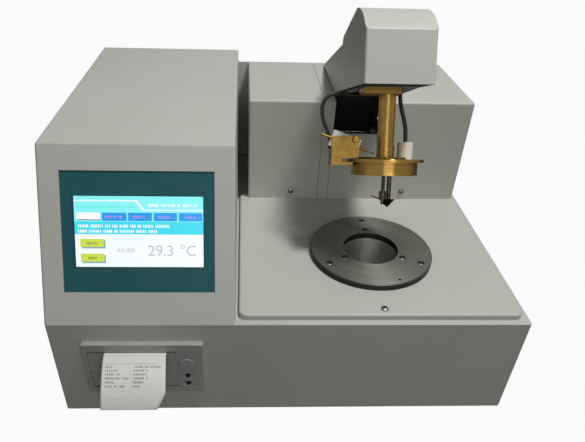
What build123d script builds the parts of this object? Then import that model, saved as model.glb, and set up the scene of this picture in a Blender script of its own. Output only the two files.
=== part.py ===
from build123d import *
import math
import os

# Automatic closed-cup flash point tester, in millimetres.
# While it is being built, X runs left to right, Y from the lower front face to the back and Z up
# from the underside of the housing. At the end every piece is moved so that the origin is on the
# bench, below the middle of the whole instrument.

# ---------------------------------------------------------------- housing
BODY_W = 450.0
BODY_D = 366.5
DECK_H = 115.0
SHEET = 2.0
BEND_R = 2.5
LIP = 11.0
FOOT_H = 12.0
FOOT_R = 14.0
FOOT_INSET = 34.0
CONSOLE_W = 172.5
CONSOLE_RISE = 144.0
SLOPE_RUN = 73.0
TOWER_GAP = 13.0
TOWER_INSET = 10.0
TOWER_D = 142.5
TOWER_RISE = 129.5

# ---------------------------------------------------------------- screen on the sloping face
SCREEN_OFF = 0.55
SCREEN_UP = 84.3
SCREEN_W = 134.6
SCREEN_H = 108.0
SCREEN_RECESS = 1.0
LCD_W = 115.2
LCD_H = 65.0
SCREEN_GAP = 0.3
SCREEN_DEPTH = 24.0

# ---------------------------------------------------------------- panel printer
PRINTER_OFF = 0.55
PRINTER_Z = 31.0
PRINTER_W = 111.0
PRINTER_H = 64.0
PRINTER_PROUD = 5.0
PRINTER_DEPTH = 58.0
BEZEL_RIM = 3.5
DOOR_W = 81.0
DOOR_T = 4.5
DOOR_H = 43.6
DOOR_GAP = 0.5
HINGE_R = 2.4
HINGE_UP = 9.9
DOOR_PIN_R = 1.2
GROOVE_W = 1.5
SLOT_H = 1.5
PAPER_W = 57.5
PAPER_OFF = 7.5
PAPER_T = 0.3
SLIP_RUN = 3.3
SLIP_R = 46.0
SLIP_TURN = 62.0
ROLL_R = 19.0
ROLL_Y = 32.0
ROLL_UP = 29.0
CORE_R = 6.0
PLATEN_R = 4.5
PLATEN_GAP = 0.4
PLATEN_DROP = 6.5
RUN = 0.06
BUTTON_R = 8.0
BUTTON_OFF = 39.7
BUTTON_UP = 37.4
BUTTON_BACK = 3.6
FLANGE_T = 0.6
KEY_R = 2.4
KEY_UP = 11.8
KEY_PITCH = 10.4

# ---------------------------------------------------------------- heated well
HEAD_INSET = 135.0
WELL_Y = 106.0
WELL_R = 28.85
WELL_DEPTH = 50.0
WELL_WALL = 3.15
RING_R = 64.0
RING_T = 6.9
RING_SCREW_R = 54.5
WELL_SCREW_R = 34.6
RING_SCREW_ANGLES = (-150.0, -30.0, 90.0)
PLATEAU_H = 6.5
PLATEAU_FRONT = 6.5
PLATEAU_TAIL = 12.0
PLATEAU_SIDE = 3.0
PLATEAU_RIGHT = 6.0
PLATEAU_R = 8.0
HEATER_R = 45.5
JACKET_R = 60.0

# ---------------------------------------------------------------- lifting arm
LIFT = 25.0
PIVOT_BACK = 66.5
PIVOT_RISE = 62.5
ARM_W = 63.5
ARM_SHEET = 1.5
ARM_GAP = 0.75
SILL_DROP = 3.4
SLOT_CLOSE = 12.5
CHEEK_T = 3.0
CHEEK_X = 23.0
SHAFT_R = 6.0
BUSH_R = 8.0
STAND_T = 8.0
STAND_X = 36.0
GEAR_MODULE = 1.0
SECTOR_TEETH = 72
PINION_TEETH = 18
GEAR_T = 5.0
BACKLASH = 0.16

# ---------------------------------------------------------------- lid and what it carries
LID_GAP = 1.0
LID_R = 37.0
LID_T = 3.0
RIM_R = 31.4
RIM_H = 12.0
RIM_WALL = 2.8
COLUMN_R = 8.0
COLUMN_H = 59.4
BRACKET_T = 5.8
ROD_R = 1.65
BLADE_REACH = 12.4
SHUTTER_R = 28.0
SHUTTER_T = 1.6
SHUTTER_GAP = 0.1
SHUTTER_TURN = 40.0
IGNITER_TILT = 19.0
IGNITER_DIP = 25.0

FRAME_TOP = DECK_H + PLATEAU_H + RING_T
CONSOLE_H = DECK_H + CONSOLE_RISE
CONSOLE_R = -BODY_W / 2 + CONSOLE_W
CONSOLE_MID = -BODY_W / 2 + CONSOLE_W / 2
TOWER_H = DECK_H + TOWER_RISE
TOWER_X = CONSOLE_R + TOWER_GAP
TOWER_R = BODY_W / 2 - TOWER_INSET
TOWER_Y = BODY_D - TOWER_D
BACK_IN = BODY_D - SHEET
SLOPE = math.degrees(math.atan2(SLOPE_RUN, CONSOLE_H - DECK_H))
SCREEN_X = CONSOLE_MID + SCREEN_OFF
PRINTER_X = CONSOLE_MID + PRINTER_OFF
PAPER_X = PRINTER_X - PAPER_OFF
DOOR_AXIS_Y = HINGE_R - PRINTER_PROUD
DOOR_AXIS_Z = PRINTER_Z + HINGE_UP
DOOR_TOP = DOOR_AXIS_Z + DOOR_H
ROLL_Z = PRINTER_Z + ROLL_UP
PLATEN_Y = DOOR_T - PRINTER_PROUD + PLATEN_R + PLATEN_GAP
PLATEN_Z = DOOR_TOP - PLATEN_DROP
BUTTON_X = PRINTER_X + BUTTON_OFF
BUTTON_Z = PRINTER_Z + BUTTON_UP
KEY_Z = (PRINTER_Z + KEY_UP + KEY_PITCH, PRINTER_Z + KEY_UP)
HEAD_X = BODY_W / 2 - HEAD_INSET
RIM_Z = FRAME_TOP + LID_GAP
LID_Z = RIM_Z + RIM_H
LID_TOP = LID_Z + LID_T
COLUMN_TOP = LID_TOP + COLUMN_H
PLATE_Z = COLUMN_TOP + BRACKET_T
PIVOT_Y = BODY_D - PIVOT_BACK
PIVOT_Z = DECK_H + PIVOT_RISE
SLOT_W = ARM_W + 2 * ARM_GAP
SLOT_LEFT = HEAD_X - SLOT_W / 2
SLOT_SILL = PLATE_Z - SILL_DROP
SLOT_BACK = BODY_D - SLOT_CLOSE
PLATEAU_TOP = DECK_H + PLATEAU_H
PLATEAU_Y1 = TOWER_Y + PLATEAU_TAIL


def block(x0, x1, y0, y1, z0, z1):
    """A box between two corners."""
    size = Box(x1 - x0, y1 - y0, z1 - z0, align=(Align.MIN, Align.MIN, Align.MIN))
    return Pos(x0, y0, z0) * size


def rod_z(x, y, z0, z1, r):
    """An upright cylinder."""
    return Pos(x, y, z0) * Cylinder(r, z1 - z0, align=(Align.CENTER, Align.CENTER, Align.MIN))


def rod_x(y, z, x0, x1, r):
    """A cylinder along X."""
    bar = Cylinder(r, x1 - x0, align=(Align.CENTER, Align.CENTER, Align.MIN))
    return Pos(x0, y, z) * Rot(0, 90, 0) * bar


def rod_y(x, z, y0, y1, r):
    """A cylinder along Y."""
    bar = Cylinder(r, y1 - y0, align=(Align.CENTER, Align.CENTER, Align.MIN))
    return Pos(x, y0, z) * Rot(-90, 0, 0) * bar


def plate_yz(points, x0, x1):
    """A plate across X with a straight-sided outline given as (y, z) points."""
    face = Plane.YZ * make_face(Polyline(*points, close=True))
    return Pos(x0, 0, 0) * extrude(face, x1 - x0)


def polar(radius, degrees):
    """A point at a radius and an angle."""
    return radius * math.cos(math.radians(degrees)), radius * math.sin(math.radians(degrees))


def screw(head_r, head_h, shank_r, shank_l):
    """A pan-head screw standing on z = 0 with its shank below."""
    head = Cylinder(head_r, head_h, align=(Align.CENTER, Align.CENTER, Align.MIN))
    head = fillet(head.edges().group_by(Axis.Z)[-1], head_h * 0.4)
    shank = Cylinder(shank_r, shank_l, align=(Align.CENTER, Align.CENTER, Align.MAX))
    return head + shank


# ---------------------------------------------------------------- what is on the back
FAN_IN = 75.0
FAN_DROP = 53.0
FAN_SIZE = 80.0
FAN_T = 25.0
FAN_BORE = 38.0
FAN_HUB = 17.0
FAN_SCREW = 35.75
FAN_BLADES = 7
FAN_PITCH = 55.0
SPINDLE_R = 2.0
INLET_IN = 75.0
INLET_Z = 62.0
INLET_W = 47.0
INLET_H = 27.5
SWITCH_APART = 50.0
SWITCH_W = 19.0
SWITCH_H = 27.0
VENT_W = 5.0
VENT_PITCH = 16.0
VENTS = 8
FAN_X = BODY_W / 2 - FAN_IN
FAN_Z = DECK_H - FAN_DROP
INLET_X = INLET_IN - BODY_W / 2
SWITCH_X = INLET_X + SWITCH_APART

# ---------------------------------------------------------------- housing pieces
SCREW_R = 2.0
SCREW_HOLE = 2.1
SCREW_HEAD_R = 3.5
SCREW_HEAD_H = 2.2
SCREW_L = 6.0
TOWER_SCREW_UP = 10.5
TOWER_SCREW_Z = PLATEAU_TOP + TOWER_SCREW_UP
TOWER_SCREWS_X = (HEAD_X - 77.7, HEAD_X + 59.0)
TOWER_TAB = 7.0
PLATEAU_SCREW = (HEAD_X - 2.5, PLATEAU_FRONT + 8.4)
EDGE_IN = 9.0
TOP_IN = 8.0
SIDE_IN = 25.0
LOW_SCREWS = [(side * (BODY_W / 2 - EDGE_IN), z) for side in (-1, 1) for z in (FAN_Z - 32.0, DECK_H - 15.0)]
CONSOLE_SCREWS = [(x, CONSOLE_H - TOP_IN) for x in (SIDE_IN - BODY_W / 2, CONSOLE_R - SIDE_IN)]
TOWER_SCREWS = [(x, TOWER_H - TOP_IN) for x in (TOWER_X + SIDE_IN, TOWER_R - SIDE_IN)]
REAR_SCREWS = LOW_SCREWS + CONSOLE_SCREWS + TOWER_SCREWS


def foot_places():
    """The middles of the four feet."""
    across = BODY_W / 2 - FOOT_INSET
    return [(x, y) for x in (-across, across) for y in (FOOT_INSET, BODY_D - FOOT_INSET)]


def ring_places(radius):
    """The three screw places on a circle round the well."""
    return [(HEAD_X + polar(radius, a)[0], WELL_Y + polar(radius, a)[1]) for a in RING_SCREW_ANGLES]


def chassis_shell():
    """The folded lower case: front, two sides and the deck that carries the well."""
    half = BODY_W / 2
    shell = block(-half, half, 0, BODY_D, 0, DECK_H)
    corners = shell.edges().filter_by(Axis.Z).group_by(Axis.Y)[0]
    shell = fillet(corners, BEND_R)
    shell -= block(-half + SHEET, half - SHEET, SHEET, BODY_D + 1, -1, DECK_H - SHEET)
    shell -= block(-half + SHEET, CONSOLE_R - LIP, SHEET, BODY_D + 1, DECK_H - 2 * SHEET, DECK_H + 1)
    shell -= block(TOWER_X + LIP, TOWER_R - LIP, PLATEAU_Y1 + 2 * SHEET, BACK_IN - LIP,
                   DECK_H - 2 * SHEET, DECK_H + 1)
    shell -= block(CONSOLE_R - LIP - 1, half - SHEET, BACK_IN, BODY_D + 1, -1, DECK_H + 1)
    for side in (-1, 1):
        inner = side * (half - SHEET)
        lip = block(min(inner, inner - side * LIP), max(inner, inner - side * LIP),
                    BACK_IN - SHEET, BACK_IN, SHEET, DECK_H - SHEET)
        shell += lip
    rim = BEZEL_RIM + DOOR_GAP
    left = PRINTER_X - PRINTER_W / 2 + rim
    shell -= block(left, left + PRINTER_W - 2 * rim, -1, SHEET + 1,
                   PRINTER_Z + rim, PRINTER_Z + PRINTER_H - rim)
    shell -= rod_z(HEAD_X, WELL_Y, DECK_H - 2 * SHEET, DECK_H + 1, HEATER_R + 5)
    for x, y in ring_places(RING_SCREW_R):
        shell -= rod_z(x, y, DECK_H - 2 * SHEET, DECK_H + 1, SCREW_HOLE)
    shell -= rod_z(*PLATEAU_SCREW, DECK_H - 2 * SHEET, DECK_H + 1, SCREW_HOLE)
    for x, z in LOW_SCREWS:
        shell -= rod_y(x, z, BACK_IN - 2 * SHEET, BACK_IN + 1, SCREW_HOLE)
    return shell


def slope_plane(up, out):
    """A plane on the sloping face: X across, Y up the slope, Z out of the face."""
    a = math.radians(SLOPE)
    y = up * math.sin(a) - out * math.cos(a)
    z = DECK_H + up * math.cos(a) + out * math.sin(a)
    return Plane(origin=(SCREEN_X, y, z), x_dir=(1, 0, 0), z_dir=(0, -math.cos(a), math.sin(a)))


def slope_box(width, height, out, depth):
    """A box on the screen's middle whose front is `out` proud of the face."""
    place = slope_plane(SCREEN_UP, out - depth / 2)
    return place * Box(width, height, depth)


def console_cover():
    """The left cover with the sloping face, open at the back and below."""
    a = math.radians(SLOPE)
    left = -BODY_W / 2
    cover = plate_yz([(0, DECK_H), (SLOPE_RUN, CONSOLE_H), (BODY_D, CONSOLE_H), (BODY_D, DECK_H)],
                     left, CONSOLE_R)
    front = cover.edges().filter_by(lambda e: abs(e.center().Y - SLOPE_RUN / 2) < 1)
    ridge = cover.edges().filter_by(
        lambda e: abs(e.center().Y - SLOPE_RUN) < 1 and abs(e.center().Z - CONSOLE_H) < 1)
    top = cover.edges().filter_by(Axis.Y).group_by(Axis.Z)[-1]
    cover = fillet(front + ridge + top, BEND_R)

    def inner_y(z):
        return SHEET * math.cos(a) + (z - DECK_H + SHEET * math.sin(a)) * math.tan(a)

    low = DECK_H - SHEET
    high = CONSOLE_H - SHEET
    cover -= plate_yz([(inner_y(low), low), (inner_y(high), high), (BODY_D + 1, high), (BODY_D + 1, low)],
                      left + SHEET, CONSOLE_R - SHEET)
    cover -= block(CONSOLE_R - SHEET - 1, CONSOLE_R + 1, BACK_IN, BODY_D + 1, DECK_H - 1, high)
    cover += block(left + SHEET, CONSOLE_R - SHEET, BACK_IN - SHEET, BACK_IN, high - LIP, high)
    cover -= slope_box(SCREEN_W, SCREEN_H, 10, 20)
    for x, z in CONSOLE_SCREWS:
        cover -= rod_y(x, z, BACK_IN - 2 * SHEET, BACK_IN + 1, SCREW_HOLE)
    return cover


FLOOR_VENTS = 6
FLOOR_VENT_IN = 35.0
FLOOR_VENT_PITCH = 14.0
FLOOR_VENT_Y = 65.0
FLOOR_VENT_L = 55.0


def bottom_plate():
    """The floor of the case, with the holes for the feet and rows of air slots."""
    half = BODY_W / 2 - SHEET
    plate = block(-half, half, SHEET, BACK_IN, 0, SHEET)
    for x, y in foot_places():
        plate -= rod_z(x, y, -1, SHEET + 1, SCREW_HOLE)
    for i in range(FLOOR_VENTS):
        x = FLOOR_VENT_IN - BODY_W / 2 + i * FLOOR_VENT_PITCH
        plate -= block(x, x + VENT_W, FLOOR_VENT_Y, FLOOR_VENT_Y + FLOOR_VENT_L, -1, SHEET + 1)
    return plate


def feet():
    """Four rubber feet, each with a sunk hole for its screw."""
    body = Pos(0, 0, -FOOT_H) * Cone(FOOT_R - 2, FOOT_R, FOOT_H, align=(Align.CENTER, Align.CENTER, Align.MIN))
    body -= rod_z(0, 0, -FOOT_H - 1, 1, SCREW_HOLE)
    body -= rod_z(0, 0, -FOOT_H - 1, -4, SCREW_HEAD_R + 1)
    return [Pos(x, y, 0) * body for x, y in foot_places()]


def fan_screw_places():
    """The four corners where the fan is held."""
    return [(FAN_X + i * FAN_SCREW, FAN_Z + k * FAN_SCREW) for i in (-1, 1) for k in (-1, 1)]


def rear_panel():
    """The back sheet, stepped down from the console to the tower."""
    half = BODY_W / 2 - SHEET
    outline = [
        (-half, 0), (half, 0), (half, DECK_H - SHEET), (TOWER_R - SHEET, DECK_H - SHEET),
        (TOWER_R - SHEET, TOWER_H - SHEET), (TOWER_X + SHEET, TOWER_H - SHEET),
        (TOWER_X + SHEET, TOWER_H), (CONSOLE_R - SHEET, TOWER_H),
        (CONSOLE_R - SHEET, CONSOLE_H - SHEET), (-half, CONSOLE_H - SHEET),
    ]
    face = make_face(Polyline(*[(x, BACK_IN, z) for x, z in outline], close=True))
    panel = extrude(face, SHEET, dir=(0, 1, 0))
    for x, z in REAR_SCREWS + fan_screw_places():
        panel -= rod_y(x, z, BACK_IN - 1, BODY_D + 1, SCREW_HOLE)
    panel -= rod_y(FAN_X, FAN_Z, BACK_IN - 1, BODY_D + 1, FAN_BORE - 1)
    panel -= block(INLET_X - INLET_W / 2, INLET_X + INLET_W / 2, BACK_IN - 1, BODY_D + 1,
                   INLET_Z - INLET_H / 2, INLET_Z + INLET_H / 2)
    panel -= block(SWITCH_X - SWITCH_W / 2, SWITCH_X + SWITCH_W / 2, BACK_IN - 1, BODY_D + 1,
                   INLET_Z - SWITCH_H / 2, INLET_Z + SWITCH_H / 2)
    for first, low, high in ((HEAD_X - 60, 45, 90), (30 - BODY_W / 2, 55, 110)):
        for i in range(VENTS):
            x = first + i * VENT_PITCH
            panel -= block(x, x + VENT_W, BACK_IN - 1, BODY_D + 1, DECK_H + low, DECK_H + high)
    return panel


def case_screws():
    """All the pan-head screws of the case, which are the same size."""
    one = screw(SCREW_HEAD_R, SCREW_HEAD_H, SCREW_R, SCREW_L)
    screws = [Pos(x, BODY_D, z) * Rot(-90, 0, 0) * one for x, z in REAR_SCREWS]
    screws += [Pos(x, TOWER_Y, TOWER_SCREW_Z) * Rot(90, 0, 0) * one for x in TOWER_SCREWS_X]
    screws += [Pos(*PLATEAU_SCREW, PLATEAU_TOP) * one]
    screws += [Pos(x, y, -4) * Rot(180, 0, 0) * one for x, y in foot_places()]
    return screws


# ---------------------------------------------------------------- fan, inlet and switch
def fan_frame():
    """The square fan housing with its bore and the three arms that carry the hub."""
    half = FAN_SIZE / 2
    frame = block(FAN_X - half, FAN_X + half, BACK_IN - FAN_T, BACK_IN, FAN_Z - half, FAN_Z + half)
    frame = fillet(frame.edges().filter_by(Axis.Y), 4)
    frame -= rod_y(FAN_X, FAN_Z, BACK_IN - FAN_T - 1, BACK_IN + 1, FAN_BORE)
    for angle in (90, 210, 330):
        arm = block(0, FAN_BORE + 1, -3, 0, -2, 2)
        frame += Pos(FAN_X, BACK_IN - FAN_T + 3, FAN_Z) * Rot(0, angle, 0) * arm
    frame += rod_y(FAN_X, FAN_Z, BACK_IN - FAN_T, BACK_IN - FAN_T + 3, FAN_HUB - 1)
    frame += rod_y(FAN_X, FAN_Z, BACK_IN - FAN_T, BACK_IN - 6, SPINDLE_R)
    for x, z in fan_screw_places():
        frame -= rod_y(x, z, BACK_IN - FAN_T - 1, BACK_IN + 1, SCREW_HOLE)
    return frame


def fan_rotor():
    """The hub with seven pitched blades, on the frame's spindle."""
    back = BACK_IN - 4
    front = BACK_IN - FAN_T + 4
    rotor = rod_y(FAN_X, FAN_Z, front, back, FAN_HUB)
    length = FAN_BORE - FAN_HUB
    for i in range(FAN_BLADES):
        blade = Pos(FAN_HUB + length / 2 - 1.5, 0, 0) * Rot(-FAN_PITCH, 0, 0) * Box(length, 15, 1.6)
        rotor += Pos(FAN_X, (front + back) / 2, FAN_Z) * Rot(0, i * 360 / FAN_BLADES, 0) * blade
    rotor -= rod_y(FAN_X, FAN_Z, front - 1, BACK_IN - 6 + 0.5, SPINDLE_R + RUN)
    return rotor


def fan_guard():
    """The round wire guard on the back, drawn as flat rings and four spokes."""
    guard = Part()
    for r in (12.0, 20.0, 28.0, 36.0):
        ring = rod_y(FAN_X, FAN_Z, BODY_D, BODY_D + 2, r + 1) - rod_y(
            FAN_X, FAN_Z, BODY_D - 1, BODY_D + 3, r - 1)
        guard += ring
    reach = math.hypot(FAN_SCREW, FAN_SCREW)
    for angle in (45, 135, 225, 315):
        spoke = block(11, reach, 0, 2, -1, 1) + rod_y(reach, 0, 0, 2, 4.5)
        guard += Pos(FAN_X, BODY_D, FAN_Z) * Rot(0, angle, 0) * spoke
    for x, z in fan_screw_places():
        guard -= rod_y(x, z, BODY_D - 1, BODY_D + 3, SCREW_HOLE)
    return guard


def fan_screws():
    """Four screws through the guard and the back sheet into the fan."""
    one = screw(SCREW_HEAD_R, SCREW_HEAD_H, SCREW_R, 14.0)
    return [Pos(x, BODY_D + 2, z) * Rot(-90, 0, 0) * one for x, z in fan_screw_places()]


def power_inlet():
    """The mains inlet: a flanged socket with three blades in its cavity."""
    x0 = INLET_X
    z0 = INLET_Z
    w = INLET_W / 2 - SCREEN_GAP
    h = INLET_H / 2 - SCREEN_GAP
    body = block(x0 - w, x0 + w, BODY_D - 26, BODY_D, z0 - h, z0 + h)
    body += block(x0 - w - 4, x0 + w + 4, BODY_D, BODY_D + 3, z0 - h - 3, z0 + h + 3)
    body -= block(x0 - 13, x0 + 13, BODY_D - 15, BODY_D + 4, z0 - 9, z0 + 8)
    for dx, dz in ((-7.0, -2.0), (7.0, -2.0), (0.0, 2.0)):
        body += block(x0 + dx - 1, x0 + dx + 1, BODY_D - 15, BODY_D - 1, z0 + dz - 2, z0 + dz + 2)
    return body


def switch_housing():
    """The frame of the mains switch."""
    w = SWITCH_W / 2 - SCREEN_GAP
    h = SWITCH_H / 2 - SCREEN_GAP
    body = block(SWITCH_X - w, SWITCH_X + w, BODY_D - 20, BODY_D, INLET_Z - h, INLET_Z + h)
    body += block(SWITCH_X - w - 2, SWITCH_X + w + 2, BODY_D, BODY_D + 2, INLET_Z - h - 2, INLET_Z + h + 2)
    body -= block(SWITCH_X - w + 2, SWITCH_X + w - 2, BODY_D - 12, BODY_D + 3, INLET_Z - h + 1.5, INLET_Z + h - 1.5)
    for side in (-1, 1):
        x = SWITCH_X + side * (w - 2)
        body += rod_x(BODY_D - 5, INLET_Z, min(x, x - side * 1.2), max(x, x - side * 1.2), 1.6)
    return body


ROCKER_SWING = 8.0


def power_rocker():
    """The rocker, stored with its upper half pressed in."""
    w = SWITCH_W / 2 - SCREEN_GAP - 2.4
    h = SWITCH_H / 2 - SCREEN_GAP - 2.6
    outline = [(-4, -h), (5.5, -h), (6.2, -h * 0.5), (5.0, 0), (6.2, h * 0.5), (5.5, h), (-4, h)]
    rocker = plate_yz(outline, -w, w)
    rocker -= rod_x(0, 0, -w - 1, -w + 1.2, 1.6 + RUN)
    rocker -= rod_x(0, 0, w - 1.2, w + 1, 1.6 + RUN)
    rocker = Rot(ROCKER_SWING / 2, 0, 0) * rocker
    return Pos(SWITCH_X, BODY_D - 5, INLET_Z) * rocker


# ---------------------------------------------------------------- electronics
BOARD_W = 130.0
BOARD_D = 95.0
BOARD_Z = 10.0
SUPPLY_W = 129.0
SUPPLY_D = 98.0
SUPPLY_H = 38.0
WALL_IN = 20.0
BOARD_BACK = 16.5
SUPPLY_AHEAD = 27.0
BOARD_X = WALL_IN - BODY_W / 2
BOARD_Y = BODY_D - BOARD_BACK - BOARD_D


def main_board():
    """The control board on its stand-offs, with its tall parts."""
    x0, x1 = BOARD_X, BOARD_X + BOARD_W
    y0, y1 = BOARD_Y, BOARD_Y + BOARD_D
    board = block(x0, x1, y0, y1, SHEET + BOARD_Z, SHEET + BOARD_Z + 1.6)
    for x in (x0 + 6, x1 - 6):
        for y in (y0 + 6, y1 - 6):
            board += rod_z(x, y, SHEET, SHEET + BOARD_Z, 3.0)
    top = SHEET + BOARD_Z + 1.6
    board += block(x0 + 14, x0 + 44, y0 + 12, y0 + 32, top, top + 16)
    board += block(x0 + 52, x0 + 82, y0 + 12, y0 + 32, top, top + 16)
    board += block(x0 + 50, x0 + 70, y0 + 50, y0 + 70, top, top + 3)
    board += rod_z(x0 + 100, y0 + 30, top, top + 22, 8)
    board += rod_z(x0 + 100, y0 + 60, top, top + 22, 8)
    return board


def power_supply():
    """The caged mains supply on the floor of the case."""
    y1 = BOARD_Y - SUPPLY_AHEAD
    top = SHEET + SUPPLY_H
    supply = block(BOARD_X, BOARD_X + SUPPLY_W, y1 - SUPPLY_D, y1, SHEET, top)
    for i in range(9):
        x = BOARD_X + 10 + i * 13
        supply -= block(x, x + VENT_W, y1 - SUPPLY_D + 10, y1 - 10, top - 1.5, top + 1)
    return supply


# ---------------------------------------------------------------- screen
def screen_bezel():
    """The front frame of the screen, held behind the sheet by its flange."""
    gap = SCREEN_GAP
    frame = slope_box(SCREEN_W - 2 * gap, SCREEN_H - 2 * gap, -SCREEN_RECESS, 3.0)
    frame += slope_box(SCREEN_W + 8, SCREEN_H + 6, -SHEET, 2.0)
    frame -= slope_box(LCD_W, LCD_H, 1, 10)
    return frame


def screen_glass():
    """The flat touch glass in the frame."""
    return slope_box(LCD_W, LCD_H, -SCREEN_RECESS - 1.2, 1.8)


def screen_module():
    """The box behind the frame that holds the display and its board."""
    return slope_box(SCREEN_W - 6, SCREEN_H - 6, -SHEET - 2.0, SCREEN_DEPTH)


# ---------------------------------------------------------------- printer
RING_GAP = 0.7
RING_DEEP = 1.0
FLANGE_OUT = 0.8
DISH_W = 6.5
DISH_DEEP = 1.7
DISH_H = 3.6


def printer_bezel():
    """The moulded front of the printer with the door's window and three button places."""
    x0 = PRINTER_X - PRINTER_W / 2
    x1 = x0 + PRINTER_W
    z1 = PRINTER_Z + PRINTER_H
    bezel = block(x0, x1, -PRINTER_PROUD, 0, PRINTER_Z, z1)
    bezel = fillet(bezel.edges().filter_by(Axis.Y), 3)
    bezel = fillet(bezel.faces().sort_by(Axis.Y)[0].outer_wire().edges(), 1.2)
    door0 = x0 + BEZEL_RIM
    bezel -= block(door0, door0 + DOOR_W + 2 * DOOR_GAP, -PRINTER_PROUD - 1, 1,
                   DOOR_AXIS_Z - HINGE_R - DOOR_GAP, DOOR_TOP + SLOT_H)
    for x in (door0 - 1.5, door0 + DOOR_W + 2 * DOOR_GAP - 0.1):
        bezel -= rod_x(DOOR_AXIS_Y, DOOR_AXIS_Z, x, x + 1.6, DOOR_PIN_R + RUN)
    bezel -= rod_y(BUTTON_X, BUTTON_Z, -PRINTER_PROUD - 1, 1, BUTTON_R + RUN)
    bezel -= rod_y(BUTTON_X, BUTTON_Z, -PRINTER_PROUD - 1, -PRINTER_PROUD + RING_DEEP, BUTTON_R + RING_GAP)
    pocket = -PRINTER_PROUD + BUTTON_BACK - FLANGE_T - 2 * RUN
    bezel -= rod_y(BUTTON_X, BUTTON_Z, pocket, 1, BUTTON_R + FLANGE_OUT + 4 * RUN)
    for z in KEY_Z:
        dish = Pos(BUTTON_X, -PRINTER_PROUD, z) * scale(Sphere(1), by=(DISH_W, DISH_DEEP, DISH_H))
        bezel -= dish
        bezel -= rod_y(BUTTON_X, z, -PRINTER_PROUD - 1, 1, KEY_R + RUN)
        bezel -= rod_y(BUTTON_X, z, pocket, 1, KEY_R + FLANGE_OUT + 4 * RUN)
    return bezel


def printer_body():
    """The printer's case behind the front, with the bin for the paper roll."""
    rim = BEZEL_RIM + DOOR_GAP + 0.5
    x0 = PRINTER_X - PRINTER_W / 2 + rim
    x1 = x0 + PRINTER_W - 2 * rim
    z0 = PRINTER_Z + rim
    z1 = PRINTER_Z + PRINTER_H - rim
    body = block(x0, x1, 0, PRINTER_DEPTH, z0, z1)
    half = PAPER_W / 2 + 4.5
    body -= block(PAPER_X - half, PAPER_X + half, -1, PRINTER_DEPTH - 3, z0 + 2.5, DOOR_TOP + SLOT_H)
    for side in (-1, 1):
        wall = PAPER_X + side * half
        end = PAPER_X + side * (PAPER_W / 2 - 3)
        body += rod_x(ROLL_Y, ROLL_Z, min(wall, end), max(wall, end), CORE_R - RUN)
    return body


GROOVES_UP = (24.2, 13.1)


def printer_door():
    """The paper door with its three grooves, hinge pins and the ears of the platen."""
    x0 = PRINTER_X - PRINTER_W / 2 + BEZEL_RIM + DOOR_GAP
    x1 = x0 + DOOR_W
    front = -PRINTER_PROUD
    door = block(x0, x1, front, front + DOOR_T, DOOR_AXIS_Z, DOOR_TOP)
    door += rod_x(DOOR_AXIS_Y, DOOR_AXIS_Z, x0, x1, HINGE_R)
    deep = GROOVE_W / 2
    for up in GROOVES_UP:
        z = DOOR_AXIS_Z + up
        vee = [(front - 1, z - deep - 1), (front + deep, z), (front - 1, z + deep + 1)]
        door -= plate_yz(vee, x0 - 1, x1 + 1)
    door += rod_x(DOOR_AXIS_Y, DOOR_AXIS_Z, x0 - 1.4, x0, DOOR_PIN_R)
    door += rod_x(DOOR_AXIS_Y, DOOR_AXIS_Z, x1, x1 + 1.4, DOOR_PIN_R)
    for side in (-1, 1):
        ear = PAPER_X + side * (PAPER_W / 2 + 1.6)
        door += block(ear - 1.2, ear + 1.2, front + DOOR_T - 1, PLATEN_Y + 3, PLATEN_Z - 3, PLATEN_Z + 3)
        door -= rod_x(PLATEN_Y, PLATEN_Z, ear - 2, ear + 2, 1.5 + RUN)
    return door


def platen_roller():
    """The rubber roller that feeds the paper, in the door's ears."""
    half = PAPER_W / 2
    roller = rod_x(PLATEN_Y, PLATEN_Z, PAPER_X - half, PAPER_X + half, PLATEN_R)
    return roller + rod_x(PLATEN_Y, PLATEN_Z, PAPER_X - half - 2.8, PAPER_X + half + 2.8, 1.5)


def paper_roll():
    """The roll of thermal paper on the two stubs of the bin."""
    half = PAPER_W / 2
    roll = rod_x(ROLL_Y, ROLL_Z, PAPER_X - half, PAPER_X + half, ROLL_R)
    return roll - rod_x(ROLL_Y, ROLL_Z, PAPER_X - half - 1, PAPER_X + half + 1, CORE_R)


def paper_strip():
    """The printed slip: straight out over the door's top edge, then curling down before it."""
    bend = -PRINTER_PROUD - SLIP_RUN
    centre = (bend, DOOR_TOP - SLIP_R)
    outer = CenterArc(centre, SLIP_R + PAPER_T, 90, SLIP_TURN)
    inner = CenterArc(centre, SLIP_R, 90, SLIP_TURN)
    low = (0, DOOR_TOP)
    high = (0, DOOR_TOP + PAPER_T)
    outline = make_face([Line(low, high), Line(high, outer @ 0), outer, Line(outer @ 1, inner @ 1), inner,
                         Line(inner @ 0, low)])
    return Pos(PAPER_X - PAPER_W / 2, 0, 0) * extrude(Plane.YZ * outline, PAPER_W)


def pressed_piece(x, z, r, proud):
    """A round button in the printer's front, held by a flange behind it."""
    front = -PRINTER_PROUD - proud
    back = -PRINTER_PROUD + BUTTON_BACK
    button = rod_y(x, z, front, back, r)
    button = fillet(button.edges().group_by(Axis.Y)[0], BUTTON_EDGE)
    return button + rod_y(x, z, back - FLANGE_T, back, r + FLANGE_OUT)


BUTTON_PROUD = 0.8
BUTTON_EDGE = 0.5


def printer_open_button():
    """The round button that lets the paper door go."""
    return pressed_piece(BUTTON_X, BUTTON_Z, BUTTON_R, BUTTON_PROUD)


def printer_key(z):
    """One small round key."""
    return pressed_piece(BUTTON_X, z, KEY_R, 0)


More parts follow.
